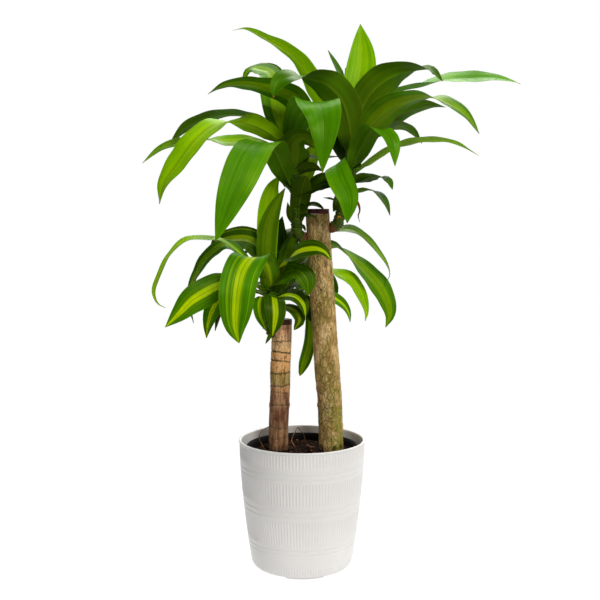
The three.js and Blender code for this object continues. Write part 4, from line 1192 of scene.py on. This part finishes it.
def bark_tan_material():
    """Weathered tan bark: small upright plates between mossy cracks, dark pits, green and reddish patches."""
    wiring, place = new_material("bark_tan")
    height, side = place.axis(2), place.axis(0)
    warp = place.noise(150, output="Color").stretched(0.007, 0.007, 0.007)
    shifted = wiring.put("ShaderNodeVectorMath", {0: place, 1: warp}).stretched(1, 1, 0.42)
    cell_inputs = {"Vector": shifted, "Scale": 150}
    cells = wiring.put("ShaderNodeTexVoronoi", cell_inputs, "Distance", feature="DISTANCE_TO_EDGE")
    streaks = place.stretched(1, 1, 0.3).noise(110, 5, 0.6)
    patches = place.stretched(1, 1, 0.5).noise(34, 4, 0.6)
    grain = place.stretched(1, 1, 0.4).noise(460, 4, 0.65)
    crack = cells.step(0.16, 0.02) * (patches.step(0.36, 0.58, 0.35, 1) * grain.step(0.3, 0.55, 0.4, 1))
    pits = place.stretched(1, 1, 0.6).noise(260, 2).step(0.64, 0.72)
    moss = height.step(0.36, 0.24) * side.step(-0.014, 0.012) * place.noise(80, 4, 0.6).step(0.4, 0.58)
    bark = streaks.ramp((0.3, "92723f"), (0.43, "bb9857"), (0.55, "d8b376"), (0.7, "edd0a0")).coated(
        (place.noise(60).step(0.56, 0.68, 0, 0.5), "a06c46"),
        (patches.step(0.46, 0.62, 0, 0.5), "86802e"),
        (grain.step(0.32, 0.62, 0.45, 0), "5a4322"),
        (crack * 0.55, "564c14"),
        (pits * 0.8, "2c1e0e"),
        (wiring.value("crack") * 0.75, "33240f"),
        (place.noise(190, 1).step(0.75, 0.79, 0, 0.8), "e2ddcf"),
        (moss * 0.75, "7d8a1c"),
        (darker_foot(height, patches), "2c1e12"),
    )
    relief = grain - wiring.maths("MAXIMUM", crack, pits)
    normal = relief.bump(0.0016, 0.8, streaks.bump(0.002, 0.5))
    return wiring.done(wiring.skin(bark, streaks.step(0.3, 0.7, 0.75, 0.92), normal, 0.2))


def bark_orange_material():
    """Younger bark between ring scars: pinkish tan, then orange, olive and dark reddish brown toward the soil."""
    wiring, place = new_material("bark_orange")
    height = place.axis(2)
    streaks = place.stretched(1, 1, 0.2).noise(170, 4, 0.6)
    grain = place.stretched(1, 1, 0.4).noise(480, 4, 0.65)
    patches = place.stretched(1, 1, 0.7).noise(60)
    dashes = place.stretched(1, 1, 0.3).noise(310, 3, 0.6).step(0.54, 0.62)
    zones = place.stretched(0.3, 0.3, 1).noise(52, 1).step(0.48, 0.6)
    moss = dashes * zones * height.step(0.3, 0.325)
    bark = (height + (patches - 0.5) * 0.03).step(0.2, 0.44).ramp(
        (0.0, "7d5234"), (0.2, "744730"), (0.4, "825236"), (0.48, "b07a4c"), (0.55, "94803e"), (0.64, "a98c44"),
        (0.7, "dc9f5a"), (0.85, "da9f60"), (0.9, "d8b07a"), (1.0, "cc9470"),
    ).coated(
        (streaks.step(0.42, 0.66) * height.step(0.27, 0.33, 0.3, 0.5), "e8c491"),
        (streaks.step(0.5, 0.34, 0, 0.55), "5e3a20"),
        (grain.step(0.32, 0.6, 0.4, 0), "4b2f18"),
        (place.noise(330, 1).step(0.72, 0.77, 0, 0.7), "e6d8c2"),
        (wiring.value("crack") * 0.75, "3a2412"),
        (moss * 0.7, "3d4012"),
        (wiring.value("scar") * patches.step(0.3, 0.5, 0.6, 1) * 0.95, "2f3010"),
        (darker_foot(height, patches), "24170d"),
    )
    normal = (grain - moss).bump(0.0012, 0.7, streaks.bump(0.002, 0.5))
    return wiring.done(wiring.skin(bark, streaks.step(0.3, 0.7, 0.65, 0.88), normal, 0.25))


def wax_material():
    wiring, place = new_material("wax")
    cloud = place.noise(120, 4)
    tint = cloud.ramp((0.3, "3a150e"), (0.55, "552318"), (0.75, "743424"))
    roughness = place.noise(300).step(0.3, 0.7, 0.28, 0.55)
    return wiring.done(wiring.skin(tint, roughness, cloud.bump(0.0012, 0.5), 0.25))


def root_material():
    wiring, place = new_material("dry_root")
    cloud = place.noise(240)
    tint = cloud.ramp((0.3, "4e3220"), (0.55, "80583a"), (0.75, "a67f58"))
    return wiring.done(wiring.skin(tint, cloud.step(0.3, 0.7, 0.6, 0.85), place.noise(900, 2).bump(0.0004, 0.8)))


def soil_material():
    """Moist potting soil: peat and bark, from black to reddish brown, as each crumb's tone says."""
    wiring, place = new_material("soil")
    cloud = place.noise(160, 4, 0.65)
    shade = wiring.value("tone") + (cloud - 0.5) * 0.7
    tint = shade.ramp((0.05, "0b0603"), (0.4, "1c0e06"), (0.75, "3f2210"), (1.0, "7a4a26"))
    normal = place.noise(700).bump(0.0012, 0.8)
    return wiring.done(wiring.skin(tint, cloud.step(0.3, 0.7, 0.8, 0.98), normal, 0.05))


def planter_material():
    """White moulded plastic: a satin skin, with a little grime in upright streaks."""
    wiring, place = new_material("planter_plastic")
    grime = place.stretched(1, 1, 0.3).noise(70, 5, 0.65).step(0.56, 0.75, 0, 0.05)
    tint = place.noise(9).ramp((0.3, "d6d4d1"), (0.7, "dedcd9")).toward("a39b90", grime)
    roughness = place.noise(60, 4).step(0.3, 0.7, 0.34, 0.46)
    return wiring.done(wiring.skin(tint, roughness, place.noise(1100, 2).bump(0.0002, 0.08)))


def pot_material():
    wiring, place = new_material("pot_plastic")
    tint = place.noise(60, 4).ramp((0.3, "060505"), (0.7, "0d0b0a"))
    roughness = place.noise(150, 4).step(0.3, 0.7, 0.42, 0.65)
    return wiring.done(wiring.skin(tint, roughness, place.noise(900, 2).bump(0.0003, 0.4), 0.08))


# ---------- the plant, put together ----------

LEAF, STEM, WAX = leaf_material(), stem_material(), wax_material()
for shoot in STEMS:
    leaves(shoot, LEAF)
    leafy_stem(shoot, STEM)
cane("cane_tall", TALL_CANE, TALL_CANE_TOP, tall_cane_skin, tall_cane_marks, bark_tan_material(), "bark_tan")
cane("cane_short", SHORT_CANE, SHORT_CANE_TOP, short_cane_skin, short_cane_marks, bark_orange_material(),
     "bark_orange")
wax_cap("wax_tall", TALL_CANE, TALL_CANE_TOP, WAX)
wax_cap("wax_short", SHORT_CANE, SHORT_CANE_TOP, WAX)
planter(planter_material())
grow_pot(pot_material())
soil(soil_material())
dry_roots(root_material())


# ---------- floor, light and camera ----------

FLOOR_SIDES = 96
FLOOR_REACH = 1.1
FLOOR_FADE = (0.25, 1.0)  # where the floor begins to melt into the backdrop, and where it ends
FLOOR_GLOW = 0.9
FLOOR_GREYS = (0.19, 0.21)
WHITE = (1, 1, 1, 1)


def floor():
    """A pale round floor that melts into the white backdrop."""
    wiring, place = new_material("floor")
    dark, light = [(grey, grey, grey, 1) for grey in FLOOR_GREYS]
    inputs = {
        "Base Color": place.noise(3, 2).ramp((0.3, dark), (0.7, light)), "Roughness": 0.9, "Specular IOR Level": 0.0,
        "Emission Color": WHITE, "Emission Strength": FLOOR_GLOW,
    }
    skin = wiring.put("ShaderNodeBsdfPrincipled", inputs)
    fade = wiring.put("ShaderNodeVectorMath", {0: place}, "Value", operation="LENGTH").step(*FLOOR_FADE)
    clear = wiring.put("ShaderNodeBsdfTransparent", {})
    mesh = bpy.data.meshes.new("floor")
    mesh.from_pydata([polar(FLOOR_REACH, angle, 0) for angle in angles(FLOOR_SIDES)], [], [range(FLOOR_SIDES)])
    mesh.materials.append(wiring.done(wiring.put("ShaderNodeMixShader", {0: fade, 1: skin, 2: clear})))
    piece = bpy.data.objects.new("floor", mesh)
    bpy.context.collection.objects.link(piece)


# Each lamp's name, place, aim, width, power and colour.
LAMPS = [
    ("key", (0.8, -2.1, 2.4), (0, 0, 0.55), 1.0, 69, (1.0, 0.98, 0.94)),
    ("top", (0.2, 1.1, 2.5), (-0.05, 0, 0.75), 2.0, 72, (1.0, 1.0, 0.97)),
    ("fill", (-2.0, -2.0, 1.0), (0, 0, 0.4), 2.0, 5, (0.97, 0.98, 1.0)),
]


def lamp(name, place, aim, width, power, tint):
    data = bpy.data.lights.new(name, "AREA")
    data.shape = "DISK"
    data.size, data.energy, data.color = width, power, tint
    light = bpy.data.objects.new(name, data)
    light.location = place
    light.rotation_euler = (Vector(aim) - Vector(place)).to_track_quat("-Z", "Y").to_euler()
    bpy.context.collection.objects.link(light)


def studio():
    """A white backdrop to look at. What it lights the plant with comes mostly from behind and from the right."""
    wiring = Wiring(bpy.data.worlds.new("studio"))
    way = wiring.place("Generated")
    glow = way.axis(1).step(-0.1, 0.8, 0, 0.68) + way.axis(0).step(-0.2, 1, 0, 0.5) + 0.1
    seen = wiring.put("ShaderNodeLightPath", {}, "Is Camera Ray")
    inputs = {"Color": WHITE, "Strength": wiring.maths("MAXIMUM", glow, seen)}
    bpy.context.scene.world = wiring.done(wiring.put("ShaderNodeBackground", inputs), "ShaderNodeOutputWorld")


def camera():
    data = bpy.data.cameras.new("camera")
    data.sensor_width, data.lens, data.clip_end = SENSOR_WIDTH, LENS, CLIP_END
    viewer = bpy.data.objects.new("camera", data)
    viewer.location = in_metres(EYE)
    viewer.rotation_euler = Euler((math.radians(90 - LOOK_DOWN), 0, 0))
    bpy.context.collection.objects.link(viewer)
    bpy.context.scene.camera = viewer


floor()
for settings in LAMPS:
    lamp(*settings)
studio()
camera()
bpy.context.scene.view_settings.view_transform = "Standard"
